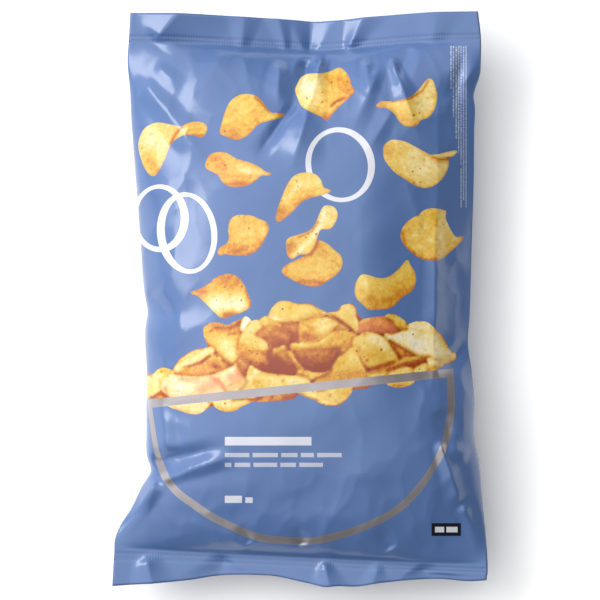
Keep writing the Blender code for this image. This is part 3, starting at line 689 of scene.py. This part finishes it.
     (0.42, 0.2, 0), (120, 0.06), (((-10, -60.5, -3, -59.5), 1.6, -0.15, 0.5, 0.15), ((-17, -60), 0.8, -0.3, 0.4,
     0), ((-27, -62, -23.5, -60.5), 0.8, -0.3, 0.4, 0))),
    # below big
    ((-1, -57, 7.5, -54.5, 18.5, -53, 27.5, -52, 33.5, -52, 32, -56.5, 30, -59.5, 27.5, -62.5, 23.5, -65, 18.5,
     -65.5, 13.5, -64.5, 9, -62, 3.5, -60), (0.68, 0, -0.02), (150, 0.08), (((0.5, -58, 5, -60.5, 10.5, -62), 0.8,
     -0.25, 0.6, 0), ((11, -56.5, 16, -55.5), 0.8, -0.25, 0.5, 0), ((24.5, -58, 29, -57), 3, -0.1, 0.04, -0.1),
     ((18.5, -59), 0.8, -0.35, 0.5, 0), ((13.5, -63, 21, -65), 1.2, 0.1, 0, 0))),
    # below red
    ((33, -55, 34.5, -52, 41.5, -51.5, 43.5, -53, 40.5, -55), (0.3, 0.4, 0.08), (90, 0.05), ()),
    # below end
    ((52.5, -51.5, 60, -49, 68.5, -48.5, 70.5, -50, 68, -52.5, 62.5, -54, 57.5, -54), (0.6, 0.02, 0), (90, 0.05),
     (((56.5, -53, 65, -52.5), 0.9, -0.15, 0.15, 0),)),
)

HEAP_BACK = ((-96, -61, -94, -46.5, -90.5, -46, -87.5, -43.5, -84, -42, -79, -43.5, -76, -40, -73, -36, -67.5,
    -32.5, -62.5, -30.5, -56.5, -29.5, -58, -25, -59, -20, -58, -17, -54, -15, -49, -14.5, -44, -16, -40, -14, -36,
    -12.5, -33.5, -10.5, -30, -13.5, -27, -14.5, -24.5, -12, -21, -10.5, -19, -9, -16.5, -4.5, -13, -1.5, -8.5, -1,
    -4.5, -2, -1, -3, 6, -3, 11, -5.5, 15.5, -8.5, 22.5, -7.5, 25, -4.5, 29, -3, 32.5, -3.5, 34.5, -6.5, 36, -10.5,
    40.5, -12, 45.5, -11, 51.5, -10.5, 55, -9, 59.5, -10, 64.5, -14, 67.5, -15.5, 70, -14, 75.5, -13.5, 79.5, -16,
    84.5, -19.5, 88, -24, 91, -30, 93, -32.5, 95, -32.5, 96, -34.5, 95, -37.5, 92, -39, 88, -40.5, 84, -42, 82,
    -46.5, 70.5, -50, 62.5, -54, 54, -52, 43.5, -53, 33.5, -55, 30, -59.5, 27.5, -62.5, 23.5, -65, 18.5, -65.5,
    13.5, -64.5, 9, -62, -0.5, -57.5, -3, -60.5, -15.5, -62.5, -27, -62, -35, -65.5, -44, -69, -52.5, -65.5, -58,
    -68, -63.5, -70.5, -74.5, -68, -82.5, -63.5, -92, -60.5), (0.42, 0.2, 0.03), (90, 0.05), ())

EDGE_BLEND = 1.3                          # width over which one crisp's edge gives way to the next
SHADOW_TONE = np.array((-0.36, 0.42, 0.02))      # what a crisp's shadow adds to the tone beneath
CRISP_MARGIN = 4                          # how far round a crisp its shadow is painted
SHADOW_WIDTH, RIM_WIDTH = 1.6, 0.9
EYE = 1.816                               # height that the print is laid out from, in metres
FAR_OUT = -9.0                            # a distance inside for points far outside
BOWL_TOP = -30                            # the bowl lies below this


def smooth_outline(points, steps=4, closed=True):
    """A smooth curve through the points, as more points."""
    here = np.reshape(points, (-1, 2)).astype(float)
    t = (np.arange(steps) / steps)[None, :, None]
    before, here, after, beyond = (np.roll(here, k, axis=0)[:, None] for k in (1, 0, -1, -2))
    curve = here + t * (after - before) / 2 + t**2 * (before - 2.5 * here + 2 * after - beyond / 2)
    curve = (curve + t**3 * (1.5 * here - before / 2 - 1.5 * after + beyond / 2)).reshape(-1, 2)
    if closed:
        return curve
    return np.concatenate([here[:1, 0], curve[steps:-2 * steps], here[-2:, 0]])


def line_distance(x, y, points):
    """Distance from (x, y) to a line through the points."""
    points = np.reshape(points, (-1, 2)).astype(float)
    nearest = np.hypot(x - points[0, 0], y - points[0, 1])
    for (ax, ay), (bx, by) in zip(points[:-1], points[1:]):
        run = max((bx - ax) ** 2 + (by - ay) ** 2, 1e-9)
        t = np.clip(((x - ax) * (bx - ax) + (y - ay) * (by - ay)) / run, 0, 1)
        nearest = np.minimum(nearest, np.hypot(x - ax - t * (bx - ax), y - ay - t * (by - ay)))
    return nearest


def inside_distance(x, y, outline):
    """Distance inside a closed outline, negative outside it."""
    closed = np.concatenate([outline, outline[:1]])
    inside = np.zeros(x.shape, bool)
    for (ax, ay), (bx, by) in zip(closed[:-1], closed[1:]):
        if ay != by:
            inside ^= ((ay > y) != (by > y)) & (x < ax + (y - ay) * (bx - ax) / (by - ay))
    return line_distance(x, y, closed) * np.where(inside, 1, -1)


def paint_crisp(x, y, cover, tone, crisp, seed):
    """Paints one crisp over those already in cover, the distance inside any crisp, and tone."""
    points, (light, brown, red), (lean, lean_by), marks = crisp
    outline = smooth_outline(points)
    (left, bottom), (right, top) = outline.min(axis=0) - CRISP_MARGIN, outline.max(axis=0) + CRISP_MARGIN
    near = np.flatnonzero((x > left) & (x < right) & (y > bottom) & (y < top))
    x, y = x[near], y[near]
    inside = inside_distance(x, y, outline)

    centre = (outline.min(axis=0) + outline.max(axis=0)) / 2
    reach = np.ptp(outline, axis=0).max() / 2
    from_x, from_y = (x - centre[0]) / reach, (y - centre[1]) / reach
    away = np.clip(0.5 + 0.45 * from_x - 0.6 * from_y, 0, 1)         # 1 on the side away from the light
    shadow = np.exp(-((inside / SHADOW_WIDTH) ** 2))[:, None] * (0.3 + 0.7 * away[:, None])
    under = tone[near] + shadow * SHADOW_TONE

    rim = np.exp(-((inside / RIM_WIDTH) ** 2))
    rad = math.radians(lean)
    light = light + lean_by * (from_x * math.cos(rad) + from_y * math.sin(rad)) - 0.12 * rim * away
    light = light + 0.05 * slow_noise(x, y, 13, seed) + 0.05 * slow_noise(x, y, 4.5, seed + 1)
    brown = brown + rim * (0.04 + 0.24 * away) + 0.03 * slow_noise(x, y, 6, seed + 2)
    over = np.stack([light, brown, np.full(x.shape, red)], axis=-1)
    for line, width, *adds in marks:
        over += np.exp(-((line_distance(x, y, line) / width) ** 2))[:, None] * np.array(adds)
    before = cover[near]
    share = np.where(inside > before, 1.0, np.clip(0.5 + inside / EDGE_BLEND, 0, 1))[:, None]
    tone[near] = over * share + under * (1 - share)
    cover[near] = np.maximum(before, inside)


def film_print(points, on_front):
    """The print's values at the film's points: where each lies in the layout, and the shapes that it is in."""
    spread = (EYE - FOLD_HEIGHT) / (EYE - points[:, 2]) / MM
    place = np.stack([points[:, 0] * spread, points[:, 1] * spread, on_front], axis=-1)
    cover = np.full(len(points), FAR_OUT)
    tone = np.zeros((len(points), 3))
    front = np.flatnonzero(on_front)
    front_cover, front_tone = cover[front], tone[front]
    for index, crisp in enumerate(FALLING + (HEAP_BACK,) + HEAP):
        paint_crisp(place[front, 0], place[front, 1], front_cover, front_tone, crisp, 20 + 3 * index)
    cover[front], tone[front] = front_cover, front_tone
    outer = smooth_outline(BOWL_OUTER, closed=False)
    inner = smooth_outline(BOWL_INNER, closed=False)
    band = np.full(len(points), FAR_OUT)
    near = np.flatnonzero(on_front & (place[:, 1] < BOWL_TOP))
    x, y = place[near, 0], place[near, 1]
    band[near] = np.minimum(inside_distance(x, y, outer), -inside_distance(x, y, inner))
    return {"print_place": place, "crisp_cover": cover, "crisp_tone": tone, "bowl_band": band}


# --- Materials -----------------------------------------------------------------------------------------------

# Printed crisps, dark to light: (lightness, colour)
CRISP_COLOURS = (
    (0.0, (0.10, 0.012, 0.004)), (0.2, (0.32, 0.06, 0.008)), (0.4, (0.57, 0.215, 0.02)),
    (0.52, (0.65, 0.37, 0.045)), (0.66, (0.70, 0.49, 0.115)), (0.82, (0.77, 0.62, 0.28)),
    (1.0, (0.80, 0.73, 0.54)),
)
OLIVE = (0.58, 0.41, 0.015, 1)
PINK = (0.90, 0.26, 0.15, 1)
BROWN = (0.26, 0.035, 0.005, 1)
LABEL_COLOUR = (0.006, 0.008, 0.014, 1)
INK_DRIFT = 1.09                          # how much lighter the ground colour gets in places
SCUFF = 0.08                              # spread of the film's roughness
SILVER_METAL = 0.6                        # the silver ink is part metal, part grey
FINE_HALF_WIDTH, FINE_STRENGTH = 0.38, 0.75
DOT_PITCH = 1.7                           # of the pressed lines, in mm


def add_node(tree, kind, inputs, **settings):
    """A new node with its settings, and its inputs set to values or linked to sockets."""
    made = tree.nodes.new("ShaderNode" + kind)
    for name, value in settings.items():
        setattr(made, name, value)
    for key, value in inputs.items():
        if isinstance(value, bpy.types.NodeSocket):
            tree.links.new(value, made.inputs[key])
        else:
            made.inputs[key].default_value = value
    return made


def strongest(tree, masks):
    """Mask of everything that any of the masks covers."""
    return functools.reduce(lambda one, other: calc(tree, "MAXIMUM", one, other), masks)


def calc(tree, operation, *values, clamp=False):
    return add_node(tree, "Math", dict(enumerate(values)), operation=operation, use_clamp=clamp).outputs[0]


def soft_mask(tree, value, edge, middle=0.0):
    """1 where the value is over the middle, 0 where it is under, and soft within the edge."""
    inputs = {"Value": value, "From Min": middle - edge, "From Max": middle + edge}
    return add_node(tree, "MapRange", inputs, interpolation_type="SMOOTHSTEP").outputs[0]


def blend(tree, mask, under, over, mode="MIX"):
    """Colour under, with colour over where the mask is 1."""
    inputs = {0: mask, 6: under, 7: over}
    return add_node(tree, "Mix", inputs, data_type="RGBA", blend_type=mode, clamp_factor=True).outputs[2]


def attribute(tree, name):
    return add_node(tree, "Attribute", {}, attribute_name=name, attribute_type="GEOMETRY")


def new_group(name, inputs, outputs):
    """An empty node group with its sockets. Returns the tree, its input node and its output node."""
    tree = bpy.data.node_groups.new(name, "ShaderNodeTree")
    for direction, sockets in (("INPUT", inputs), ("OUTPUT", outputs)):
        for label, kind, *default in sockets:
            socket = tree.interface.new_socket(label, in_out=direction, socket_type="NodeSocket" + kind)
            if default:
                socket.default_value = default[0]
    return tree, tree.nodes.new("NodeGroupInput"), tree.nodes.new("NodeGroupOutput")


def use_group(tree, group, inputs):
    return add_node(tree, "Group", inputs, node_tree=group).outputs[0]


def oval_mask_group():
    """Mask of an upright or turned oval."""
    tree, given, out = new_group(
        "oval_mask",
        (("Place", "Vector"), ("Centre", "Vector"), ("Radii", "Vector"), ("Turn", "Float")),
        (("Mask", "Float"),),
    )
    inputs = {0: given.outputs["Place"], 1: given.outputs["Centre"]}
    off = add_node(tree, "VectorMath", inputs, operation="SUBTRACT").outputs[0]
    inputs = {"Vector": off, "Angle": given.outputs["Turn"]}
    turned = add_node(tree, "VectorRotate", inputs, rotation_type="Z_AXIS").outputs[0]
    inputs = {0: turned, 1: given.outputs["Radii"]}
    share = add_node(tree, "VectorMath", inputs, operation="DIVIDE").outputs[0]
    run = add_node(tree, "VectorMath", {0: share}, operation="LENGTH").outputs["Value"]
    tree.links.new(soft_mask(tree, calc(tree, "SUBTRACT", 1.0, run), 0.008), out.inputs[0])
    return tree


def bar_mask_group():
    """Mask of an upright bar between two corners."""
    tree, given, out = new_group(
        "bar_mask",
        (("Place", "Vector"), ("Low", "Vector"), ("High", "Vector"), ("Strength", "Float", 1.0)),
        (("Mask", "Float"),),
    )
    place = given.outputs["Place"]
    above = add_node(tree, "VectorMath", {0: place, 1: given.outputs["Low"]}, operation="SUBTRACT").outputs[0]
    below = add_node(tree, "VectorMath", {0: given.outputs["High"], 1: place}, operation="SUBTRACT").outputs[0]
    least = add_node(tree, "VectorMath", {0: above, 1: below}, operation="MINIMUM").outputs[0]
    split = add_node(tree, "SeparateXYZ", {0: least})
    inside = calc(tree, "MINIMUM", split.outputs[0], split.outputs[1])
    mask = soft_mask(tree, inside, 0.12)
    tree.links.new(calc(tree, "MULTIPLY", mask, given.outputs["Strength"]), out.inputs[0])
    return tree


def noise(tree, place, scale, detail=2.0, rough=0.5):
    inputs = {"Vector": place, "Scale": scale, "Detail": detail, "Roughness": rough}
    return add_node(tree, "TexNoise", inputs, noise_dimensions="3D").outputs["Fac"]


def crisp_colour_group():
    """Colour of the printed crisps from their tone, with mottling and fine brown specks."""
    tree, given, out = new_group(
        "crisp_colour", (("Place", "Vector"), ("Tone", "Vector")), (("Colour", "Color"),)
    )
    place = given.outputs["Place"]
    split = add_node(tree, "SeparateXYZ", {0: given.outputs["Tone"]})
    fine = calc(tree, "SUBTRACT", noise(tree, place, 0.55, 3.0, 0.6), 0.5)
    light = calc(tree, "MULTIPLY_ADD", fine, 0.46, split.outputs[0])
    ramp = add_node(tree, "ValToRGB", {0: light})
    stops = ramp.color_ramp.elements
    for stop in range(len(CRISP_COLOURS) - 2):
        stops.new(0.5)
    for stop, (at, colour) in zip(stops, CRISP_COLOURS):
        stop.position = at
        stop.color = (*colour, 1.0)
    colour = blend(tree, calc(tree, "MULTIPLY", split.outputs[2], -1.0, clamp=True), ramp.outputs[0], OLIVE)
    colour = blend(tree, calc(tree, "MULTIPLY", split.outputs[2], 1.0, clamp=True), colour, PINK)
    inputs = {"Vector": place, "Scale": 0.2, "Randomness": 1.0}
    cells = add_node(tree, "TexVoronoi", inputs, feature="F1")
    chance = add_node(tree, "SeparateColor", {0: cells.outputs["Color"]}).outputs[0]
    dots = calc(tree, "SUBTRACT", calc(tree, "MULTIPLY", chance, 0.17), cells.outputs["Distance"])
    speck = calc(tree, "MULTIPLY", soft_mask(tree, dots, 0.035), 0.75)
    blotch = calc(tree, "SUBTRACT", noise(tree, place, 0.28, 3.0, 0.6), 0.56)
    brown = calc(tree, "MULTIPLY_ADD", calc(tree, "MAXIMUM", blotch, 0.0), 1.6, split.outputs[1])
    colour = blend(tree, calc(tree, "MAXIMUM", brown, speck, clamp=True), colour, BROWN)
    tree.links.new(colour, out.inputs[0])
    return tree


def seam_group():
    """Height of a pressed line: a row of fine dots across the film."""
    sockets = (("Run", "Vector"), ("Line", "Float"), ("Pitch", "Float", DOT_PITCH))
    tree, given, out = new_group("pressed_seam", sockets, (("Height", "Float"),))
    split = add_node(tree, "SeparateXYZ", {0: given.outputs["Run"]})
    off = calc(tree, "ABSOLUTE", calc(tree, "SUBTRACT", split.outputs[1], given.outputs["Line"]))
    line = soft_mask(tree, calc(tree, "SUBTRACT", 0.9, off), 0.4)
    turns = calc(tree, "MULTIPLY", calc(tree, "DIVIDE", split.outputs[0], given.outputs["Pitch"]), TURN)
    dots = calc(tree, "MULTIPLY_ADD", calc(tree, "SINE", turns), 0.5, 0.5)
    tree.links.new(calc(tree, "MULTIPLY", line, dots), out.inputs[0])
    return tree


def print_masks(tree, place):
    """Masks of the rings, the pale print and the dark label."""
    oval, bar = oval_mask_group(), bar_mask_group()
    front = add_node(tree, "VectorMath", {0: place, 1: (1, 1, 0)}, operation="MULTIPLY").outputs[0]
    rings = []
    for ring in RINGS:
        shapes = []
        for centre, radii, turn in (ring[:3], ring[3:]):
            inputs = {"Place": front, "Centre": (*centre, 0), "Radii": (*radii, 1), "Turn": math.radians(turn)}
            shapes.append(use_group(tree, oval, inputs))
        rings.append(calc(tree, "SUBTRACT", *shapes, clamp=True))

    def bars(rows):
        masks = []
        for left, bottom, right, top, strength in rows:
            inputs = {"Place": front, "Low": (left, bottom, 0), "High": (right, top, 0), "Strength": strength}
            masks.append(use_group(tree, bar, inputs))
        return strongest(tree, masks)

    wide = FINE_HALF_WIDTH
    fine = bars([(x - wide, low, x + wide, high, FINE_STRENGTH) for x, high, low in FINE_COLUMNS])
    inputs = {0: front, 1: (0.6, 2.2, 0)}
    ticks = noise(tree, add_node(tree, "VectorMath", inputs, operation="MULTIPLY").outputs[0], 1.0, 1.0)
    fine = calc(tree, "MULTIPLY", fine, soft_mask(tree, ticks, 0.16, 0.5))
    pale = calc(tree, "MAXIMUM", bars(BARS), fine)
    return strongest(tree, rings), pale, bars((LABEL,)), bars(LABEL_BARS)


def film_base(name, look):
    """A film material with its ink and its clear outer film set. Returns it, its tree and its shader."""
    material = bpy.data.materials.new(name)
    material.use_nodes = True
    shader = material.node_tree.nodes["Principled BSDF"]
    shader.inputs["Specular IOR Level"].default_value = look.ink_shine
    shader.inputs["Coat Weight"].default_value = look.film_coat
    shader.inputs["Coat Roughness"].default_value = look.coat_roughness
    return material, material.node_tree, shader


def ground_colour(tree, look, place, scale):
    """The film's ground colour, drifting a little lighter and darker."""
    lighter = (*(c * INK_DRIFT for c in look.film_colour), 1)
    return blend(tree, noise(tree, place, scale, 3.0), (*look.film_colour, 1), lighter)


def plain_film_material(look):
    """The film without its print, for the back seam."""
    material, tree, shader = film_base("plain_film", look)
    place = add_node(tree, "TexCoord", {}).outputs["Object"]
    tree.links.new(ground_colour(tree, look, place, 20), shader.inputs["Base Color"])
    scuff = calc(tree, "MULTIPLY_ADD", noise(tree, place, 120, 4.0), SCUFF, look.film_roughness - SCUFF / 2)
    tree.links.new(scuff, shader.inputs["Roughness"])
    waves = add_node(tree, "TexWave", {"Vector": place, "Scale": 150}, bands_direction="X").outputs["Fac"]
    bump = add_node(tree, "Bump", {"Height": waves, "Distance": 0.1 * MM, "Strength": 0.4})
    tree.links.new(bump.outputs[0], shader.inputs["Normal"])
    return material


def film_material(look):
    """The printed film: its colours painted one over another, its gloss and its pressed lines."""
    material, tree, shader = film_base("printed_film", look)
    place = attribute(tree, "print_place").outputs["Vector"]
    front = add_node(tree, "SeparateXYZ", {0: place}).outputs[2]
    run = attribute(tree, "film_run").outputs["Vector"]

    rings, pale, label, label_bars = (calc(tree, "MULTIPLY", mask, front) for mask in print_masks(tree, place))
    crisps = soft_mask(tree, attribute(tree, "crisp_cover").outputs["Fac"], 0.22)
    band = soft_mask(tree, attribute(tree, "bowl_band").outputs["Fac"], 0.2)
    band = calc(tree, "MULTIPLY", band, front)
    tone = attribute(tree, "crisp_tone").outputs["Vector"]
    food = use_group(tree, crisp_colour_group(), {"Place": place, "Tone": tone})
    white, silver = (*look.ring_colour, 1), (*look.silver_colour, 1)
    colour = ground_colour(tree, look, run, 0.02)
    for mask, over in (
        (rings, white), (crisps, food), (pale, white), (label, LABEL_COLOUR), (label_bars, white), (band, silver),
    ):
        colour = blend(tree, mask, colour, over)
    tree.links.new(colour, shader.inputs["Base Color"])
    tree.links.new(calc(tree, "MULTIPLY", band, SILVER_METAL), shader.inputs["Metallic"])
    rough = calc(tree, "MULTIPLY_ADD", band, look.silver_roughness - look.film_roughness, look.film_roughness)
    rough = calc(tree, "SUBTRACT", rough, SCUFF / 2)
    scuff = calc(tree, "MULTIPLY_ADD", noise(tree, run, 0.12, 4.0), SCUFF, rough)
    tree.links.new(scuff, shader.inputs["Roughness"])

    seam = seam_group()
    presses = [use_group(tree, seam, {"Run": run, "Line": line / MM}) for line in SEAL_LINES]
    ripple = calc(tree, "MULTIPLY", noise(tree, run, 0.11, 2.0), 0.9)
    height = calc(tree, "SUBTRACT", ripple, calc(tree, "MULTIPLY", strongest(tree, presses), 0.8))
    bump = add_node(tree, "Bump", {"Height": height, "Distance": 0.3 * MM, "Strength": 0.6})
    tree.links.new(bump.outputs[0], shader.inputs["Normal"])
    return material


# --- Settings ------------------------------------------------------------------------------------------------


class FilmSettings(bpy.types.PropertyGroup):
    film_colour: FloatVectorProperty(
        name="Film colour", description="Printed ground colour of the film",
        default=(0.072, 0.136, 0.308), min=0, max=1, size=3, subtype="COLOR",
    )
    film_roughness: FloatProperty(
        name="Film roughness", description="Roughness of the ink", default=0.34, min=0, max=1,
    )
    ink_shine: FloatProperty(
        name="Ink shine", description="Reflection of the ink under the film", default=0.15, min=0, max=1,
    )
    film_coat: FloatProperty(
        name="Film gloss", description="Weight of the clear outer film", default=1.0, min=0, max=1,
    )
    coat_roughness: FloatProperty(
        name="Gloss roughness", description="Roughness of the clear outer film", default=0.2, min=0, max=1,
    )
    ring_colour: FloatVectorProperty(
        name="White ink", description="Colour of the rings and the plain bars",
        default=(0.60, 0.61, 0.66), min=0, max=1, size=3, subtype="COLOR",
    )
    silver_colour: FloatVectorProperty(
        name="Silver ink", description="Colour of the bowl's outline",
        default=(0.33, 0.305, 0.32), min=0, max=1, size=3, subtype="COLOR",
    )
    silver_roughness: FloatProperty(
        name="Silver roughness", description="Roughness of the bowl's outline", default=0.3, min=0, max=1,
    )


class StageSettings(bpy.types.PropertyGroup):
    floor_tone: FloatProperty(name="Floor tone", description="Brightness of the floor", default=0.95, min=0, max=1)
    key_power: FloatProperty(name="Key lamp", description="Power of the big soft lamp", default=20.0, unit="POWER")
    sky_bright: FloatProperty(name="Bright side", description="Room light from the bright side", default=1.8)
    sky_dark: FloatProperty(name="Dark side", description="Room light from the other side", default=0.04)
    bright_side: FloatVectorProperty(
        name="Way to the bright side", description="Direction of the strongest room light",
        default=(-0.42, 0.28, 0.86), size=3, subtype="DIRECTION",
    )
    camera_height: FloatProperty(
        name="Camera height", description="Camera above the floor", default=1.816, unit="LENGTH",
    )
    lens: FloatProperty(name="Lens", description="Focal length in millimetres", default=175.0)


# --- Operators -----------------------------------------------------------------------------------------------


def add_object(name, data):
    made = bpy.data.objects.new(name, data)
    bpy.context.scene.collection.objects.link(made)
    return made


def area_lamp(name, place, size, power, target=(0, 0, 40 * MM)):
    """A soft rectangular lamp turned towards the target."""
    lamp = bpy.data.lights.new(name, "AREA")
    lamp.shape = "RECTANGLE"
    lamp.size, lamp.size_y = size
    lamp.energy = power
    holder = add_object(name, lamp)
    holder.location = place
    holder.rotation_euler = (Vector(target) - Vector(place)).to_track_quat("-Z", "Y").to_euler()


def room_light(stage):
    """White light from all round, strongest from overhead and the upper left."""
    world = bpy.data.worlds.new("room")
    world.use_nodes = True
    tree = world.node_tree
    way = add_node(tree, "TexCoord", {}).outputs["Generated"]
    inputs = {0: way, 1: Vector(stage.bright_side).normalized()}
    facing = add_node(tree, "VectorMath", inputs, operation="DOT_PRODUCT").outputs["Value"]
    inputs = {
        "Value": facing, "From Min": 0.18, "From Max": 0.98, "To Min": stage.sky_dark, "To Max": stage.sky_bright,
    }
    strength = add_node(tree, "MapRange", inputs, interpolation_type="SMOOTHSTEP").outputs[0]
    tree.links.new(strength, tree.nodes["Background"].inputs["Strength"])
    tree.nodes["Background"].inputs["Color"].default_value = (1, 1, 1, 1)
    return world


class CRISPS_OT_stage(bpy.types.Operator):
    """Floor, lamps, room light and camera"""

    bl_idname = "crisps.stage"
    bl_label = "Stage"

    def execute(self, context):
        stage = context.scene.crisps_stage
        bm = bmesh.new()
        bmesh.ops.create_grid(bm, x_segments=1, y_segments=1, size=4.0)
        bmesh.ops.translate(bm, verts=bm.verts, vec=(0, 0, -FLOOR_GAP))
        mesh = bpy.data.meshes.new("floor")
        bm.to_mesh(mesh)
        bm.free()
        floor = add_object("floor", mesh)
        paper = bpy.data.materials.new("floor_paper")
        paper.use_nodes = True
        shader = paper.node_tree.nodes["Principled BSDF"]
        shader.inputs["Base Color"].default_value = (stage.floor_tone,) * 3 + (1.0,)
        shader.inputs["Roughness"].default_value = 0.9
        mesh.materials.append(paper)

        area_lamp("key_lamp", (-1.15, 0.65, 1.15), (1.5, 0.7), stage.key_power)
        context.scene.world = room_light(stage)
        context.scene.view_settings.view_transform = "Standard"

        lens = bpy.data.cameras.new("camera")
        lens.lens = stage.lens
        camera = add_object("camera", lens)
        camera.location = (0, -0.6 * MM, stage.camera_height)
        context.scene.camera = camera
        return {"FINISHED"}


class CRISPS_OT_film(bpy.types.Operator):
    """The printed film of the bag"""

    bl_idname = "crisps.film"
    bl_label = "Film"

    def execute(self, context):
        mesh = film_mesh()
        mesh.materials.append(film_material(context.scene.crisps_film))
        film = add_object("bag_film", mesh)
        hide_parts("bag")
        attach(film, "root")
        return {"FINISHED"}


class CRISPS_OT_back_seam(bpy.types.Operator):
    """The lap seam up the back of the bag"""

    bl_idname = "crisps.back_seam"
    bl_label = "Back seam"

    def execute(self, context):
        mesh = seam_mesh(bpy.data.objects["bag_film"])
        mesh.materials.append(plain_film_material(context.scene.crisps_film))
        seam = add_object("back_seam", mesh)
        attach(seam, "root")
        return {"FINISHED"}


class CRISPS_PT_panel(bpy.types.Panel):
    """Steps and settings of the bag"""

    bl_label = "Bag of crisps"
    bl_idname = "CRISPS_PT_panel"
    bl_space_type = "VIEW_3D"
    bl_region_type = "UI"
    bl_category = "Crisps"

    def draw(self, context):
        for settings in (context.scene.crisps_film, context.scene.crisps_stage):
            box = self.layout.box()
            for name in settings.bl_rna.properties.keys():
                if name not in {"rna_type", "name"}:
                    box.prop(settings, name)
        for step in STEPS:
            self.layout.operator(f"crisps.{step}")


STEPS = ("stage", "film", "back_seam")
CLASSES = (FilmSettings, StageSettings, CRISPS_OT_stage, CRISPS_OT_film, CRISPS_OT_back_seam, CRISPS_PT_panel)


def register():
    for cls in CLASSES:
        bpy.utils.register_class(cls)
    bpy.types.Scene.crisps_film = PointerProperty(type=FilmSettings)
    bpy.types.Scene.crisps_stage = PointerProperty(type=StageSettings)


def unregister():
    del bpy.types.Scene.crisps_stage
    del bpy.types.Scene.crisps_film
    for cls in reversed(CLASSES):
        bpy.utils.unregister_class(cls)


def main():
    register()
    for step in STEPS:
        getattr(bpy.ops.crisps, step)()


if __name__ == "__main__":
    main()
